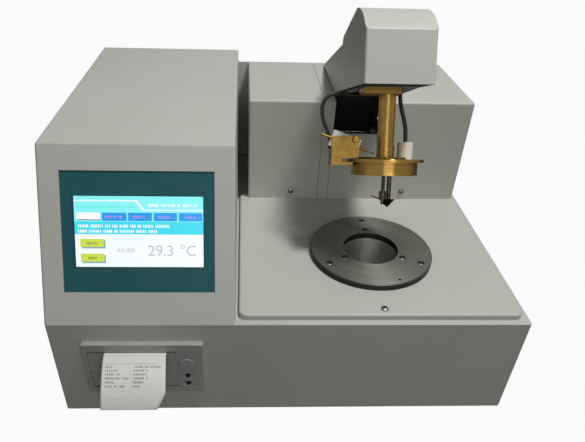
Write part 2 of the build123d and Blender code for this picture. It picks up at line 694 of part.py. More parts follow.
# ---------------------------------------------------------------- heated well
def deck_plateau():
    """The raised tray on the deck that carries the ring and the foot of the tower."""
    x0 = CONSOLE_R + PLATEAU_SIDE
    x1 = BODY_W / 2 - PLATEAU_RIGHT
    top = PLATEAU_TOP
    tray = block(x0, x1, PLATEAU_FRONT, PLATEAU_Y1, DECK_H, top)
    tray = fillet(tray.edges().filter_by(Axis.Z), PLATEAU_R)
    tray = fillet(tray.faces().sort_by(Axis.Z)[-1].outer_wire().edges(), BEND_R)
    pocket = block(x0 + SHEET, x1 - SHEET, PLATEAU_FRONT + SHEET, PLATEAU_Y1 - SHEET, DECK_H - 1, top - SHEET)
    tray -= fillet(pocket.edges().filter_by(Axis.Z), PLATEAU_R - SHEET)
    tray -= rod_z(HEAD_X, WELL_Y, DECK_H - 1, top + 1, HEATER_R + 1)
    for x, y in ring_places(RING_SCREW_R):
        tray -= rod_z(x, y, DECK_H - 1, top + 1, SCREW_HOLE)
    tray -= rod_z(*PLATEAU_SCREW, DECK_H - 1, top + 1, SCREW_HOLE)
    for x in TOWER_SCREWS_X:
        tray += block(x - TOWER_TAB, x + TOWER_TAB, TOWER_Y + SHEET, TOWER_Y + 2 * SHEET,
                      top, TOWER_SCREW_Z + TOWER_TAB)
        tray -= rod_y(x, TOWER_SCREW_Z, TOWER_Y, TOWER_Y + 3 * SHEET, SCREW_HOLE)
    return tray


RING_HEAD_R = 3.2
RING_HEAD_H = 2.2
PIN_HOLE_R = 1.5
PIN_CIRCLE_R = 58.0
PIN_HOLE_ANGLE = -71.0


def stove_ring():
    """The thick steel ring round the well, with two circles of sunk screw holes."""
    low = PLATEAU_TOP
    ring = rod_z(HEAD_X, WELL_Y, low, FRAME_TOP, RING_R)
    ring = chamfer(ring.edges().group_by(Axis.Z)[-1], 0.8)
    ring -= rod_z(HEAD_X, WELL_Y, low - 1, FRAME_TOP + 1, WELL_R)
    for radius in (RING_SCREW_R, WELL_SCREW_R):
        for x, y in ring_places(radius):
            ring -= rod_z(x, y, low - 1, FRAME_TOP + 1, SCREW_HOLE)
            ring -= rod_z(x, y, FRAME_TOP - RING_HEAD_H - 0.2, FRAME_TOP + 1, RING_HEAD_R + 0.2)
    pin_x, pin_y = polar(PIN_CIRCLE_R, PIN_HOLE_ANGLE)
    ring -= rod_z(HEAD_X + pin_x, WELL_Y + pin_y, low + 2, FRAME_TOP + 1, PIN_HOLE_R)
    return ring


def ring_screws():
    """Three screws that hold the ring to the deck and three that hold the well to the ring."""
    screws = []
    seat = FRAME_TOP - RING_HEAD_H - 0.2
    for radius, length in ((RING_SCREW_R, seat - DECK_H + 1.5), (WELL_SCREW_R, RING_T + 1.5)):
        one = screw(RING_HEAD_R, RING_HEAD_H, SCREW_R, length)
        screws += [Pos(x, y, seat) * one for x, y in ring_places(radius)]
    return screws


WELL_FLANGE_T = 5.0
WELL_FLANGE_R = 41.0


def cup_well():
    """The polished steel well that takes the test cup, hung from the ring by its flange."""
    top = PLATEAU_TOP
    floor = FRAME_TOP - WELL_DEPTH
    profile = [
        (0, floor - 4), (WELL_R + WELL_WALL, floor - 4), (WELL_R + WELL_WALL, top - WELL_FLANGE_T),
        (WELL_FLANGE_R, top - WELL_FLANGE_T), (WELL_FLANGE_R, top), (WELL_R, top), (WELL_R, floor), (0, floor),
    ]
    face = make_face(Polyline(*[(x, 0, z) for x, z in profile], close=True))
    well = Pos(HEAD_X, WELL_Y, 0) * revolve(face, Axis.Z)
    for x, y in ring_places(WELL_SCREW_R):
        well -= rod_z(x, y, top - WELL_FLANGE_T - 1, top + 1, SCREW_HOLE)
    return well


def heater_block():
    """The cast heater that holds the lower end of the well."""
    floor = FRAME_TOP - WELL_DEPTH - 4
    bottom = floor - 32
    rim = DECK_H - 5
    heater = rod_z(HEAD_X, WELL_Y, bottom, rim, HEATER_R)
    return heater - rod_z(HEAD_X, WELL_Y, floor, rim + 1, WELL_R + WELL_WALL)


def insulation_sleeve():
    """The jacket of ceramic fibre between the heater and the case."""
    floor = FRAME_TOP - WELL_DEPTH - 36
    top = DECK_H - SHEET
    jacket = rod_z(HEAD_X, WELL_Y, SHEET, top, JACKET_R)
    return jacket - rod_z(HEAD_X, WELL_Y, floor, top + 1, HEATER_R)


# ---------------------------------------------------------------- tower
SEAM = 45.0
SEAM_W = 0.5


def tower_shell():
    """The tower's folded sheet in one: front, top and two sides, open behind and below."""
    shell = block(TOWER_X, TOWER_R, TOWER_Y, BODY_D, DECK_H, TOWER_H)
    upright = shell.edges().filter_by(Axis.Z).group_by(Axis.Y)[0]
    ridge = shell.edges().group_by(Axis.Z)[-1].filter_by(lambda e: e.center().Y < BODY_D - 1)
    shell = fillet(upright + ridge, BEND_R)
    shell -= block(TOWER_X + SHEET, TOWER_R - SHEET, TOWER_Y + SHEET, BODY_D + 1, DECK_H - 1, TOWER_H - SHEET)
    shell += block(TOWER_X + SHEET, TOWER_R - SHEET, BACK_IN - SHEET, BACK_IN, TOWER_H - SHEET - LIP, TOWER_H - SHEET)
    shell -= block(TOWER_X - 1, TOWER_R + 1, TOWER_Y - 1, PLATEAU_Y1, DECK_H - 1, PLATEAU_TOP)
    shell -= block(TOWER_X - 1, TOWER_X + SHEET, BACK_IN, BODY_D + 1, DECK_H - 1, TOWER_H + 1)
    shell -= block(SLOT_LEFT, SLOT_LEFT + SLOT_W, TOWER_Y - 1, SLOT_BACK, SLOT_SILL, TOWER_H + 1)
    for x in (HEAD_X - SEAM, SLOT_LEFT):
        x0 = x - SEAM_W / 2
        shell -= block(x0, x0 + SEAM_W, TOWER_Y - 1, TOWER_Y + SEAM_W, DECK_H, TOWER_H + 1)
        shell -= block(x0, x0 + SEAM_W, TOWER_Y - 1, BODY_D + 1, TOWER_H - SEAM_W, TOWER_H + 1)
    for x in TOWER_SCREWS_X:
        shell -= rod_y(x, TOWER_SCREW_Z, TOWER_Y - 1, TOWER_Y + SHEET + 1, SCREW_HOLE)
    for x, z in TOWER_SCREWS:
        shell -= rod_y(x, z, BACK_IN - 2 * SHEET, BACK_IN + 1, SCREW_HOLE)
    return shell


def tower_part(x0, x1):
    """The stretch of the tower's sheet between two places across."""
    return tower_shell() & block(x0, x1, TOWER_Y - 1, BODY_D + 1, DECK_H - 1, TOWER_H + 1)


def tower_cover_left():
    """The cover between the console and the strip beside the arm's slot."""
    return tower_part(TOWER_X - 1, HEAD_X - SEAM)


def tower_centre():
    """The narrow strip that makes the left edge of the arm's slot."""
    return tower_part(HEAD_X - SEAM, SLOT_LEFT)


def tower_cover_right():
    """The large cover with the arm's slot and the apron below it."""
    return tower_part(SLOT_LEFT, TOWER_R + 1)


# ---------------------------------------------------------------- pivot and lift drive
GEAR_X = HEAD_X + CHEEK_X + CHEEK_T + 2.0
PITCH_SUM = GEAR_MODULE * (SECTOR_TEETH + PINION_TEETH) / 2
DRIVE_Z = PIVOT_Z - PITCH_SUM
STAND_HALF = 30.0
BOSS_R = 16.0


def pivot_stand():
    """The welded stand: two cheeks on one foot, bored for the arm's bushes and the drive."""
    stand = block(HEAD_X - STAND_X - STAND_T, HEAD_X + STAND_X + STAND_T,
                  PIVOT_Y - STAND_HALF, PIVOT_Y + STAND_HALF, SHEET, SHEET + 6)
    outline = [
        (PIVOT_Y - STAND_HALF, SHEET), (PIVOT_Y + STAND_HALF, SHEET),
        (PIVOT_Y + STAND_HALF, DRIVE_Z - 20), (PIVOT_Y + BOSS_R, PIVOT_Z),
        (PIVOT_Y - BOSS_R, PIVOT_Z), (PIVOT_Y - STAND_HALF, DRIVE_Z - 20),
    ]
    for side in (-1, 1):
        x0 = HEAD_X + side * STAND_X
        x1 = x0 + side * STAND_T
        stand += plate_yz(outline, min(x0, x1), max(x0, x1))
        stand += rod_x(PIVOT_Y, PIVOT_Z, min(x0, x1), max(x0, x1), BOSS_R)
    stand -= rod_x(PIVOT_Y, PIVOT_Z, HEAD_X - 60, HEAD_X + 60, BUSH_R)
    stand -= rod_x(PIVOT_Y, DRIVE_Z, HEAD_X + STAND_X - 1, HEAD_X + 60, 7.0)
    return stand


def pivot_bushes():
    """Two bronze bushes pressed into the stand."""
    bushes = []
    for side in (-1, 1):
        x0 = HEAD_X + side * STAND_X
        x1 = x0 + side * STAND_T
        bush = rod_x(PIVOT_Y, PIVOT_Z, min(x0, x1), max(x0, x1), BUSH_R)
        bushes.append(bush - rod_x(PIVOT_Y, PIVOT_Z, min(x0, x1) - 1, max(x0, x1) + 1, SHAFT_R + RUN))
    return bushes


MOTOR_R = 18.5
CAN_R = 16.0
DRIVE_SHAFT_R = 3.0


def lift_motor():
    """The geared motor bolted to the outside of the stand."""
    face = HEAD_X + STAND_X + STAND_T
    motor = rod_x(PIVOT_Y, DRIVE_Z, face, face + 24, MOTOR_R)
    motor += rod_x(PIVOT_Y, DRIVE_Z, face + 24, face + 58, CAN_R)
    motor += rod_x(PIVOT_Y, DRIVE_Z, face - STAND_T, face, 7.0)
    return motor - rod_x(PIVOT_Y, DRIVE_Z, face - STAND_T - 1, face + 14, DRIVE_SHAFT_R + RUN)


def involute(angle):
    """The involute function of a pressure angle in radians."""
    return math.tan(angle) - angle


def tooth_half_angle(teeth, radius):
    """Half the angle that one tooth takes at a radius, in radians."""
    pitch_r = GEAR_MODULE * teeth / 2
    base_r = pitch_r * math.cos(math.radians(20))
    here = max(radius, base_r)
    half = math.pi / (2 * teeth) - BACKLASH / (4 * pitch_r)
    return half + involute(math.radians(20)) - involute(math.acos(base_r / here))


def gear_outline(teeth, first, last, offset):
    """The outline of the teeth numbered first to last, as (y, z) points about the gear's centre."""
    pitch_r = GEAR_MODULE * teeth / 2
    tip_r = pitch_r + GEAR_MODULE
    root_r = pitch_r - 1.25 * GEAR_MODULE
    base_r = pitch_r * math.cos(math.radians(20))
    start_r = max(base_r, root_r)
    radii = [start_r + (tip_r - start_r) * k / 4 for k in range(5)]
    flank = ([root_r] if root_r < base_r else []) + radii
    points = []
    for i in range(first, last + 1):
        middle = math.radians(offset) + 2 * math.pi * i / teeth
        for r in flank:
            a = middle - tooth_half_angle(teeth, r)
            points.append((r * math.cos(a), r * math.sin(a)))
        for r in reversed(flank):
            a = middle + tooth_half_angle(teeth, r)
            points.append((r * math.cos(a), r * math.sin(a)))
    return points


SPARE_TEETH = 3


def sector_gear():
    """The toothed sector on the arm's shaft, in mesh with the drive pinion below it."""
    swept = math.ceil(LIFT * SECTOR_TEETH / 360.0)
    teeth = gear_outline(SECTOR_TEETH, -SPARE_TEETH - swept, SPARE_TEETH, -90.0)
    outline = [(12.0, -4.0)] + [(-14.0, 2.0)] + teeth
    sector = plate_yz([(PIVOT_Y + y, PIVOT_Z + z) for y, z in outline], GEAR_X, GEAR_X + GEAR_T)
    sector += rod_x(PIVOT_Y, PIVOT_Z, GEAR_X - 2.0, GEAR_X + GEAR_T, 13.0)
    return sector - rod_x(PIVOT_Y, PIVOT_Z, GEAR_X - 3.0, GEAR_X + GEAR_T + 1, SHAFT_R)


def lift_pinion():
    """The drive pinion and its shaft."""
    half_tooth = 180.0 / PINION_TEETH
    points = gear_outline(PINION_TEETH, 0, PINION_TEETH - 1, 90.0 + half_tooth)
    pinion = plate_yz([(PIVOT_Y + y, DRIVE_Z + z) for y, z in points], GEAR_X, GEAR_X + GEAR_T)
    face = HEAD_X + STAND_X + STAND_T
    return pinion + rod_x(PIVOT_Y, DRIVE_Z, GEAR_X, face + 13, DRIVE_SHAFT_R)


# ---------------------------------------------------------------- arm, drawn with the lid on the well
COVER_AHEAD = 41.0
COVER_BEHIND = 16.0
COVER_DROP = 0.6
FACE_H = 44.9
BROW_RUN = 17.0
BROW_RISE = 61.4
CREST_RUN = 2.0
CREST_RISE = 70.9
CREST_END = 70.0
CREST_END_RISE = 59.4
TOP_RISE = 52.4
REAR_RISE = 13.4
COVER_FRONT = WELL_Y - COVER_AHEAD
COVER_REAR = PIVOT_Y + COVER_BEHIND
COVER_LOW = PLATE_Z - COVER_DROP
COVER_REAR_LOW = PLATE_Z + REAR_RISE


def arm_cover():
    """The folded cover of the arm, open below."""
    face_top = (COVER_FRONT + 1, PLATE_Z + FACE_H)
    crest = (WELL_Y + CREST_RUN, PLATE_Z + CREST_RISE)
    line_front = Line((COVER_FRONT, COVER_LOW), face_top)
    brow = ThreePointArc(face_top, (COVER_FRONT + 1 + BROW_RUN, PLATE_Z + BROW_RISE), crest)
    rest = Polyline(crest, (WELL_Y + CREST_END, PLATE_Z + CREST_END_RISE),
                    (WELL_Y + CREST_END + 5, PLATE_Z + TOP_RISE), (COVER_REAR, PLATE_Z + TOP_RISE),
                    (COVER_REAR, COVER_REAR_LOW), (COVER_FRONT, COVER_LOW))
    outline = make_face([line_front, brow, rest])
    inside = offset(outline, -ARM_SHEET, kind=Kind.INTERSECTION)
    half = ARM_W / 2
    cover = Pos(HEAD_X - half, 0, 0) * extrude(Plane.YZ * outline, ARM_W)
    low = COVER_LOW + 6
    high = PLATE_Z + FACE_H - 4
    front = [e for e in cover.edges().filter_by(Axis.X) if e.center().Y < COVER_FRONT + 2 and e.center().Z > high]
    sides = [e for e in cover.edges() if abs(e.center().Y - COVER_FRONT - 0.5) < 1 and low < e.center().Z < high]
    cover = fillet(front + sides, BEND_R)
    wide = ARM_W - 2 * ARM_SHEET
    cover -= Pos(HEAD_X - wide / 2, 0, 0) * extrude(Plane.YZ * inside, wide)
    mouth = [(COVER_FRONT + ARM_SHEET, COVER_LOW - 20), (COVER_REAR - ARM_SHEET, COVER_LOW - 20),
             (COVER_REAR - ARM_SHEET, COVER_REAR_LOW + 3), (COVER_FRONT + ARM_SHEET + 0.2, COVER_LOW + 3)]
    cover -= plate_yz(mouth, HEAD_X - wide / 2, HEAD_X + wide / 2)
    return cover


PLATE_AHEAD = 20.0
PLATE_BEHIND = 44.0
CHEEK_RISE = 36.4
CHEEK_TOP_END = 64.0
HIP_RISE = 22.4
KNEE_AHEAD = 38.0
KNEE_RISE = 10.4
STUD_R = 4.0
STUD_RISE = 28.4
STUD_AHEAD = 60.0
ROD_CLEAR = 0.6


def arm_frame():
    """The welded frame of the arm: two cheeks joined by the head plate, a web and studs to the cover."""
    nose = WELL_Y - PLATE_AHEAD
    heel = WELL_Y + PLATE_BEHIND
    knee = (PIVOT_Y - KNEE_AHEAD, PLATE_Z + KNEE_RISE)
    ankle = (PIVOT_Y - BOSS_R, PIVOT_Z)
    outline = [
        (nose, PLATE_Z), (heel, PLATE_Z), knee, ankle, (PIVOT_Y + BOSS_R, PIVOT_Z),
        (PIVOT_Y, PLATE_Z + HIP_RISE), (WELL_Y + CHEEK_TOP_END, PLATE_Z + CHEEK_RISE), (nose, PLATE_Z + CHEEK_RISE),
    ]
    frame = Part()
    for side in (-1, 1):
        x0 = HEAD_X + side * CHEEK_X
        x1 = x0 + side * CHEEK_T
        frame += plate_yz(outline, min(x0, x1), max(x0, x1))
        frame += rod_x(PIVOT_Y, PIVOT_Z, min(x0, x1), max(x0, x1), BOSS_R)
        wall = HEAD_X + side * (ARM_W / 2 - ARM_SHEET)
        for y in (WELL_Y + 14, PIVOT_Y - STUD_AHEAD):
            frame += rod_x(y, PLATE_Z + STUD_RISE, min(x1, wall), max(x1, wall), STUD_R)
    frame += block(HEAD_X - CHEEK_X, HEAD_X + CHEEK_X, nose, heel, PLATE_Z, PLATE_Z + CHEEK_T)
    web = [knee, (knee[0] + CHEEK_T + 0.4, knee[1] + 1), (ankle[0] + CHEEK_T, ankle[1] + 2), ankle]
    frame += plate_yz(web, HEAD_X - CHEEK_X, HEAD_X + CHEEK_X)
    frame -= rod_x(PIVOT_Y, PIVOT_Z, HEAD_X - ARM_W, HEAD_X + ARM_W, SHAFT_R)
    return frame - rod_z(HEAD_X, WELL_Y, PLATE_Z - 1, PLATE_Z + CHEEK_T + 1, ROD_R + ROD_CLEAR)


def arm_shaft():
    """The shaft that the arm turns on, fixed in the arm and running in the bushes."""
    reach = STAND_X + STAND_T + 2
    return rod_x(PIVOT_Y, PIVOT_Z, HEAD_X - reach, HEAD_X + reach, SHAFT_R)


BAR_LEFT = 25.0
BAR_RIGHT = 11.3
BAR_HALF = 12.0


def column_bracket():
    """The brass bar under the head that the column hangs from."""
    bar = block(HEAD_X - BAR_LEFT, HEAD_X + BAR_RIGHT, WELL_Y - BAR_HALF, WELL_Y + BAR_HALF, COLUMN_TOP, PLATE_Z)
    bar = fillet(bar.edges().filter_by(Axis.Z), 1.5)
    return bar - rod_z(HEAD_X, WELL_Y, COLUMN_TOP - 1, PLATE_Z + 1, ROD_R + ROD_CLEAR)


def column():
    """The brass column between the head and the lid, bored for the stirrer."""
    post = rod_z(HEAD_X, WELL_Y, LID_TOP, COLUMN_TOP, COLUMN_R)
    return post - rod_z(HEAD_X, WELL_Y, LID_TOP - 1, COLUMN_TOP + 1, ROD_R + RUN)


IGNITER_LEAD_IN = 19.0
PORTS = (
    (188.0, 18.0, 14.0, 24.5, IGNITER_LEAD_IN),
    (125.0, 12.0, 15.0, 20.0, 0.0),
    (246.0, 12.0, 15.0, 20.0, 0.0),
)


def sector_face(start, sweep, r0, r1):
    """A flat piece of a ring on z = 0 from an angle over a sweep."""
    outer = CenterArc((0, 0), r1, start, sweep)
    inner = CenterArc((0, 0), r0, start, sweep)
    return make_face([outer, Line(outer @ 1, inner @ 1), inner, Line(inner @ 0, outer @ 0)])


DETECTOR_X = HEAD_X + 20.5
DETECTOR_Y = WELL_Y + 4.0
PROBE_X = HEAD_X + 9.5
PROBE_Y = WELL_Y + 14.0
PROBE_R = 2.2
TIP_R = 2.0


def lid():
    """The brass lid: a flange, a rim that closes over the cup, and its ports."""
    cap = rod_z(HEAD_X, WELL_Y, LID_Z, LID_TOP, LID_R)
    cap = fillet(cap.edges().group_by(Axis.Z)[-1], 0.6)
    cap += rod_z(HEAD_X, WELL_Y, RIM_Z, LID_Z, RIM_R)
    cap -= rod_z(HEAD_X, WELL_Y, RIM_Z - 1, LID_Z, RIM_R - RIM_WALL)
    cap -= rod_z(HEAD_X, WELL_Y, LID_Z - 1, LID_TOP + 1, ROD_R + RUN)
    for angle, width, r0, r1, _ in PORTS:
        port = extrude(sector_face(angle - width / 2, width, r0, r1), LID_T + 2)
        cap -= Pos(HEAD_X, WELL_Y, LID_Z - 1) * port
    cap -= rod_z(PROBE_X, PROBE_Y, LID_Z - 1, LID_TOP + 1, PROBE_R)
    return cap - rod_z(DETECTOR_X, DETECTOR_Y, LID_Z - 1, LID_TOP + 1, TIP_R)


def shutter():
    """The sliding shutter on the lid, whose ports miss the lid's until it turns."""
    plate = extrude(sector_face(112, 188, COLUMN_R + 2, SHUTTER_R), SHUTTER_T)
    plate += Cylinder(COLUMN_R + 4, SHUTTER_T, align=(Align.CENTER, Align.CENTER, Align.MIN))
    for angle, width, r0, r1, early in PORTS:
        start = angle + SHUTTER_TURN - width / 2 - early
        window = extrude(sector_face(start, width + early, r0, r1), SHUTTER_T + 2)
        plate -= Pos(0, 0, -1) * window
    plate += Rot(0, 0, 262) * block(SHUTTER_R - 1, SHUTTER_R + 7, -2.5, 2.5, 0, SHUTTER_T)
    plate -= Pos(0, 0, -1) * Cylinder(COLUMN_R + RUN, 8, align=(Align.CENTER, Align.CENTER, Align.MIN))
    return Pos(HEAD_X, WELL_Y, LID_TOP + SHUTTER_GAP) * plate


STIRRER_DEEP = 39.6
STIRRER_Z = LID_TOP - STIRRER_DEEP
COLLAR_R = 3.4
BLADE_T = 0.9
WING_PITCH = 8.0
WING_RISE = 22.0
PADDLE_PITCH = 50.0
PADDLE_DEEP = 8.0


def stirrer():
    """The stirrer: a rod through the column with a collar, a raised wing and a pitched paddle."""
    tool = rod_z(HEAD_X, WELL_Y, STIRRER_Z - 4, PLATE_Z + CHEEK_T + 4, ROD_R)
    tool += rod_z(HEAD_X, WELL_Y, STIRRER_Z + 1.5, STIRRER_Z + 9, COLLAR_R)
    wing = make_face(Polyline((1.0, -2.4), (BLADE_REACH, -0.5), (BLADE_REACH, 0.5), (1.0, 2.4), close=True))
    wing = Rot(WING_PITCH, 0, 0) * extrude(wing, BLADE_T / 2, both=True)
    tool += Pos(HEAD_X, WELL_Y, STIRRER_Z) * Rot(0, 0, 180) * Rot(0, -WING_RISE, 0) * wing
    paddle = make_face(Polyline((1.0, 1.2), (BLADE_REACH, 1.2), (4.0, -PADDLE_DEEP), (1.0, -PADDLE_DEEP * 0.6), close=True))
    paddle = Rot(PADDLE_PITCH, 0, 0) * extrude(paddle, BLADE_T / 2, both=True)
    return tool + Pos(HEAD_X, WELL_Y, STIRRER_Z) * paddle


def stirrer_motor():
    """The small motor in the head that turns the stirrer."""
    low = PLATE_Z + CHEEK_T
    motor = rod_z(HEAD_X, WELL_Y, low, low + 34, 12.5)
    motor = chamfer(motor.edges().group_by(Axis.Z)[-1], 1.0)
    return motor - rod_z(HEAD_X, WELL_Y, low - 1, low + 5, ROD_R + RUN)


# ---------------------------------------------------------------- igniter
IGNITER_OUT = 39.7
IGNITER_UP = 15.1
IGNITER_L = 27.7
IGNITER_H = 15.1
IGNITER_T = 10.0
BRACKET_AHEAD = 9.5
BRACKET_SHEET = 1.5
BRACKET_OUT = 52.8
BRACKET_W = 25.8
BRACKET_H = 19.9
LEG_W = 10.0
FLANGE_D = 19.0
PIVOT_OUT = 30.3
PIVOT_OVER = 17.8
PIVOT_R = 1.9
TUBE_R = 1.25
TUBE_L = 46.0
IGNITER_X = HEAD_X - IGNITER_OUT
IGNITER_Z = LID_TOP + IGNITER_UP
BRACKET_Y = WELL_Y - BRACKET_AHEAD
PIVOT_X = HEAD_X - PIVOT_OUT
PIVOT_UP = LID_TOP + PIVOT_OVER
IGNITER_Y = BRACKET_Y + BRACKET_SHEET + 0.3


def igniter_bracket():
    """The bent brass bracket on the lid's edge: plate, leg, side flange and foot."""
    y0 = BRACKET_Y
    y1 = BRACKET_Y + BRACKET_SHEET
    x0 = HEAD_X - BRACKET_OUT
    low = LID_TOP + 0.9
    foot = LID_Z - LID_T
    bracket = block(x0, x0 + BRACKET_W, y0, y1, low, low + BRACKET_H)
    bracket += block(x0, x0 + LEG_W, y0, y1, foot, low + 0.7)
    bracket += block(x0, x0 + BRACKET_SHEET, y0, y0 + FLANGE_D, foot, low + 8.7)
    bracket += block(x0, HEAD_X - RIM_R - 1.0, y0, y0 + FLANGE_D - 3, foot, LID_Z)
    return bracket - rod_y(PIVOT_X, PIVOT_UP, y0 - 1, y1 + 1, PIVOT_R)


def igniter_pivot_screw():
    """The brass screw that the igniter tips on."""
    end = IGNITER_Y + IGNITER_T
    pin = rod_y(PIVOT_X, PIVOT_UP, BRACKET_Y - 3.2, BRACKET_Y, 3.3)
    pin = fillet(pin.edges().group_by(Axis.Y)[0], 0.8)
    pin += rod_y(PIVOT_X, PIVOT_UP, BRACKET_Y, end + 2.6, PIVOT_R)
    return pin + rod_y(PIVOT_X, PIVOT_UP, end + 0.2, end + 2.6, 3.0)


def igniter_block():
    """The white ceramic block that holds the igniter's tube."""
    body = Box(IGNITER_L, IGNITER_T, IGNITER_H)
    body = chamfer(body.edges().filter_by(Axis.Y), 0.5)
    body -= Rot(0, 90, 0) * Cylinder(TUBE_R, IGNITER_L + 2)
    body = Pos(IGNITER_X, IGNITER_Y + IGNITER_T / 2, IGNITER_Z) * Rot(0, IGNITER_TILT, 0) * body
    return body - rod_y(PIVOT_X, PIVOT_UP, IGNITER_Y - 1, IGNITER_Y + IGNITER_T + 1, PIVOT_R + RUN)


def igniter_tube():
    """The brass tube with the hot wire at its end."""
    end = TUBE_L / 2 - 0.6
    tube = Pos(-0.6, 0, 0) * Rot(0, 90, 0) * Cylinder(TUBE_R, TUBE_L)
    tube += Pos(end + 3.4, 0, 0) * Rot(0, 90, 0) * Cylinder(0.5, 7.0)
    tube += Pos(end + 7.0, 0, 0) * Sphere(1.0)
    return Pos(IGNITER_X, IGNITER_Y + IGNITER_T / 2, IGNITER_Z) * Rot(0, IGNITER_TILT, 0) * tube


def detector_holder():
    """The white holder of the flash detector, with the detector's tip below the lid."""
    body = rod_z(DETECTOR_X, DETECTOR_Y, LID_TOP, LID_TOP + 16.1, 7.4)
    body = fillet(body.edges().group_by(Axis.Z)[-1], 0.5)
    return body + rod_z(DETECTOR_X, DETECTOR_Y, LID_Z - 6, LID_TOP, TIP_R)


def temperature_probe():
    """The steel sheath that reaches down into the cup."""
    probe = rod_z(PROBE_X, PROBE_Y, STIRRER_Z - 2, LID_TOP + 26.3, PROBE_R)
    return fillet(probe.edges().group_by(Axis.Z)[0], 1.2)


def probe_gland():
    """The brass gland that holds the probe on the lid."""
    gland = rod_z(PROBE_X, PROBE_Y, LID_TOP, LID_TOP + 12.3, 3.4)
    return gland - rod_z(PROBE_X, PROBE_Y, LID_TOP - 1, LID_TOP + 13, PROBE_R)


# ---------------------------------------------------------------- leads on the head
IGNITER_LEAD_R = 1.7
DETECTOR_LEAD_R = 2.0
IGNITER_LEAD = (
    (-13.0, 22.0, 1.8), (-22.0, 15.0, -4.1), (-33.0, 9.5, -4.8), (-45.0, 6.0, -4.0),
    (-55.0, 4.6, -6.2), (-60.8, 4.3, -13.1), (-61.4, 4.6, -21.6), (-59.0, 5.0, -31.1),
    (-54.8, 5.6, -40.1), (-52.05, 6.0, -48.1), (-52.05, 6.0, -56.1),
)
DETECTOR_LEAD = (
    (13.5, 7.5, 1.8), (13.9, 7.0, -8.6), (16.3, 6.0, -20.6), (19.6, 4.7, -32.1),
    (20.5, 4.0, -41.6), (20.5, 4.0, -50.1),
)


def lead(points, radius):
    """A round lead through points given from the head plate, with the largest arcs its runs allow."""
    places = [Vector(HEAD_X + x, WELL_Y + y, PLATE_Z + z) for x, y, z in points]
    radii = []
    for before, here, after in zip(places, places[1:], places[2:]):
        turn = math.radians((here - before).get_angle(after - here))
        shorter = min((here - before).length, (after - here).length)
        radii.append(0.45 * shorter / math.tan(turn / 2))
    path = FilletPolyline(*places, radius=radii)
    print("lead radii", [round(r, 1) for r in radii], "length", round(path.length, 1))
    section = Plane(origin=path @ 0, z_dir=path % 0) * Circle(radius)
    return sweep(section, path=path)


def igniter_lead():
    """The black lead of the igniter, from the head to the bracket."""
    return lead(IGNITER_LEAD, IGNITER_LEAD_R)


def detector_lead():
    """The black lead of the flash detector, from the head into its holder."""
    return lead(DETECTOR_LEAD, DETECTOR_LEAD_R)


# ---------------------------------------------------------------- assembly
FIXED = {
    "chassis_shell": chassis_shell, "console_cover": console_cover, "bottom_plate": bottom_plate,
    "feet": feet, "rear_panel": rear_panel, "case_screws": case_screws, "fan_frame": fan_frame,
    "fan_rotor": fan_rotor, "fan_guard": fan_guard, "fan_screws": fan_screws, "power_inlet": power_inlet,
    "switch_housing": switch_housing, "power_rocker": power_rocker, "main_board": main_board,
    "power_supply": power_supply, "screen_bezel": screen_bezel, "screen_glass": screen_glass,
    "screen_module": screen_module, "printer_bezel": printer_bezel, "printer_body": printer_body,
    "printer_door": printer_door, "platen_roller": platen_roller, "paper_roll": paper_roll,
    "paper_strip": paper_strip, "printer_open_button": printer_open_button, "feed_key": lambda: printer_key(KEY_Z[0]),
    "select_key": lambda: printer_key(KEY_Z[1]), "deck_plateau": deck_plateau, "stove_ring": stove_ring,
    "ring_screws": ring_screws, "cup_well": cup_well, "heater_block": heater_block,
    "insulation_sleeve": insulation_sleeve, "tower_cover_left": tower_cover_left,
    "tower_cover_right": tower_cover_right, "tower_centre": tower_centre, "pivot_stand": pivot_stand,
    "pivot_bushes": pivot_bushes, "lift_motor": lift_motor, "sector_gear": sector_gear,
    "lift_pinion": lift_pinion, "arm_shaft": arm_shaft,
}
HEAD = {
    "arm_cover": arm_cover, "arm_frame": arm_frame, "column_bracket": column_bracket, "column": column,
    "lid": lid, "shutter": shutter, "stirrer": stirrer, "stirrer_motor": stirrer_motor,
    "igniter_bracket": igniter_bracket, "igniter_pivot_screw": igniter_pivot_screw,
    "igniter_block": igniter_block, "igniter_tube": igniter_tube, "detector_holder": detector_holder,
    "temperature_probe": temperature_probe, "probe_gland": probe_gland, "igniter_lead": igniter_lead,
    "detector_lead": detector_lead,
}


def raised(shape):
    """Turn a piece of the head from the lid-on-the-well pose to the raised one."""
    return Pos(0, PIVOT_Y, PIVOT_Z) * Rot(-LIFT, 0, 0) * Pos(0, -PIVOT_Y, -PIVOT_Z) * shape


def solids_of(made):
    """The solids of what a function returns, one piece or a list of them."""
    pieces = made if isinstance(made, list) else [made]
    return [solid for piece in pieces for solid in piece.solids()]


def build():
    """Every node's solids, with the origin on the bench under the middle of the instrument."""
    nodes = {name: solids_of(make()) for name, make in FIXED.items()}
    for name, make in HEAD.items():
        nodes[name] = [raised(solid) for solid in solids_of(make())]
    boxes = [solid.bounding_box() for solids in nodes.values() for solid in solids]
    front = min(box.min.Y for box in boxes)
    back = max(box.max.Y for box in boxes)
    shift = Pos(0, -(front + back) / 2, FOOT_H)
    return {name: [shift * solid for solid in solids] for name, solids in nodes.items()}, (front + back) / 2


os.makedirs("parts", exist_ok=True)
NODES, ORIGIN_Y = build()
for name, solids in NODES.items():
    shape = solids[0] if len(solids) == 1 else Compound(children=solids)
    export_step(shape, f"parts/{name}.step")
print("nodes", len(NODES), "origin y", round(ORIGIN_Y, 3))
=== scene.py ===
# %% [markdown]
# # Dressing a flash point tester
#
# The instrument heats a cup of oil under a brass lid and looks for the flash. A lifting arm carries the lid,
# a sloping console holds the screen, and a small printer sits in the front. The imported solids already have
# their real size and place, so every step below adds a finish to them, or lays a finer piece over one
# of them.

# %% Load the fixed frame
import math

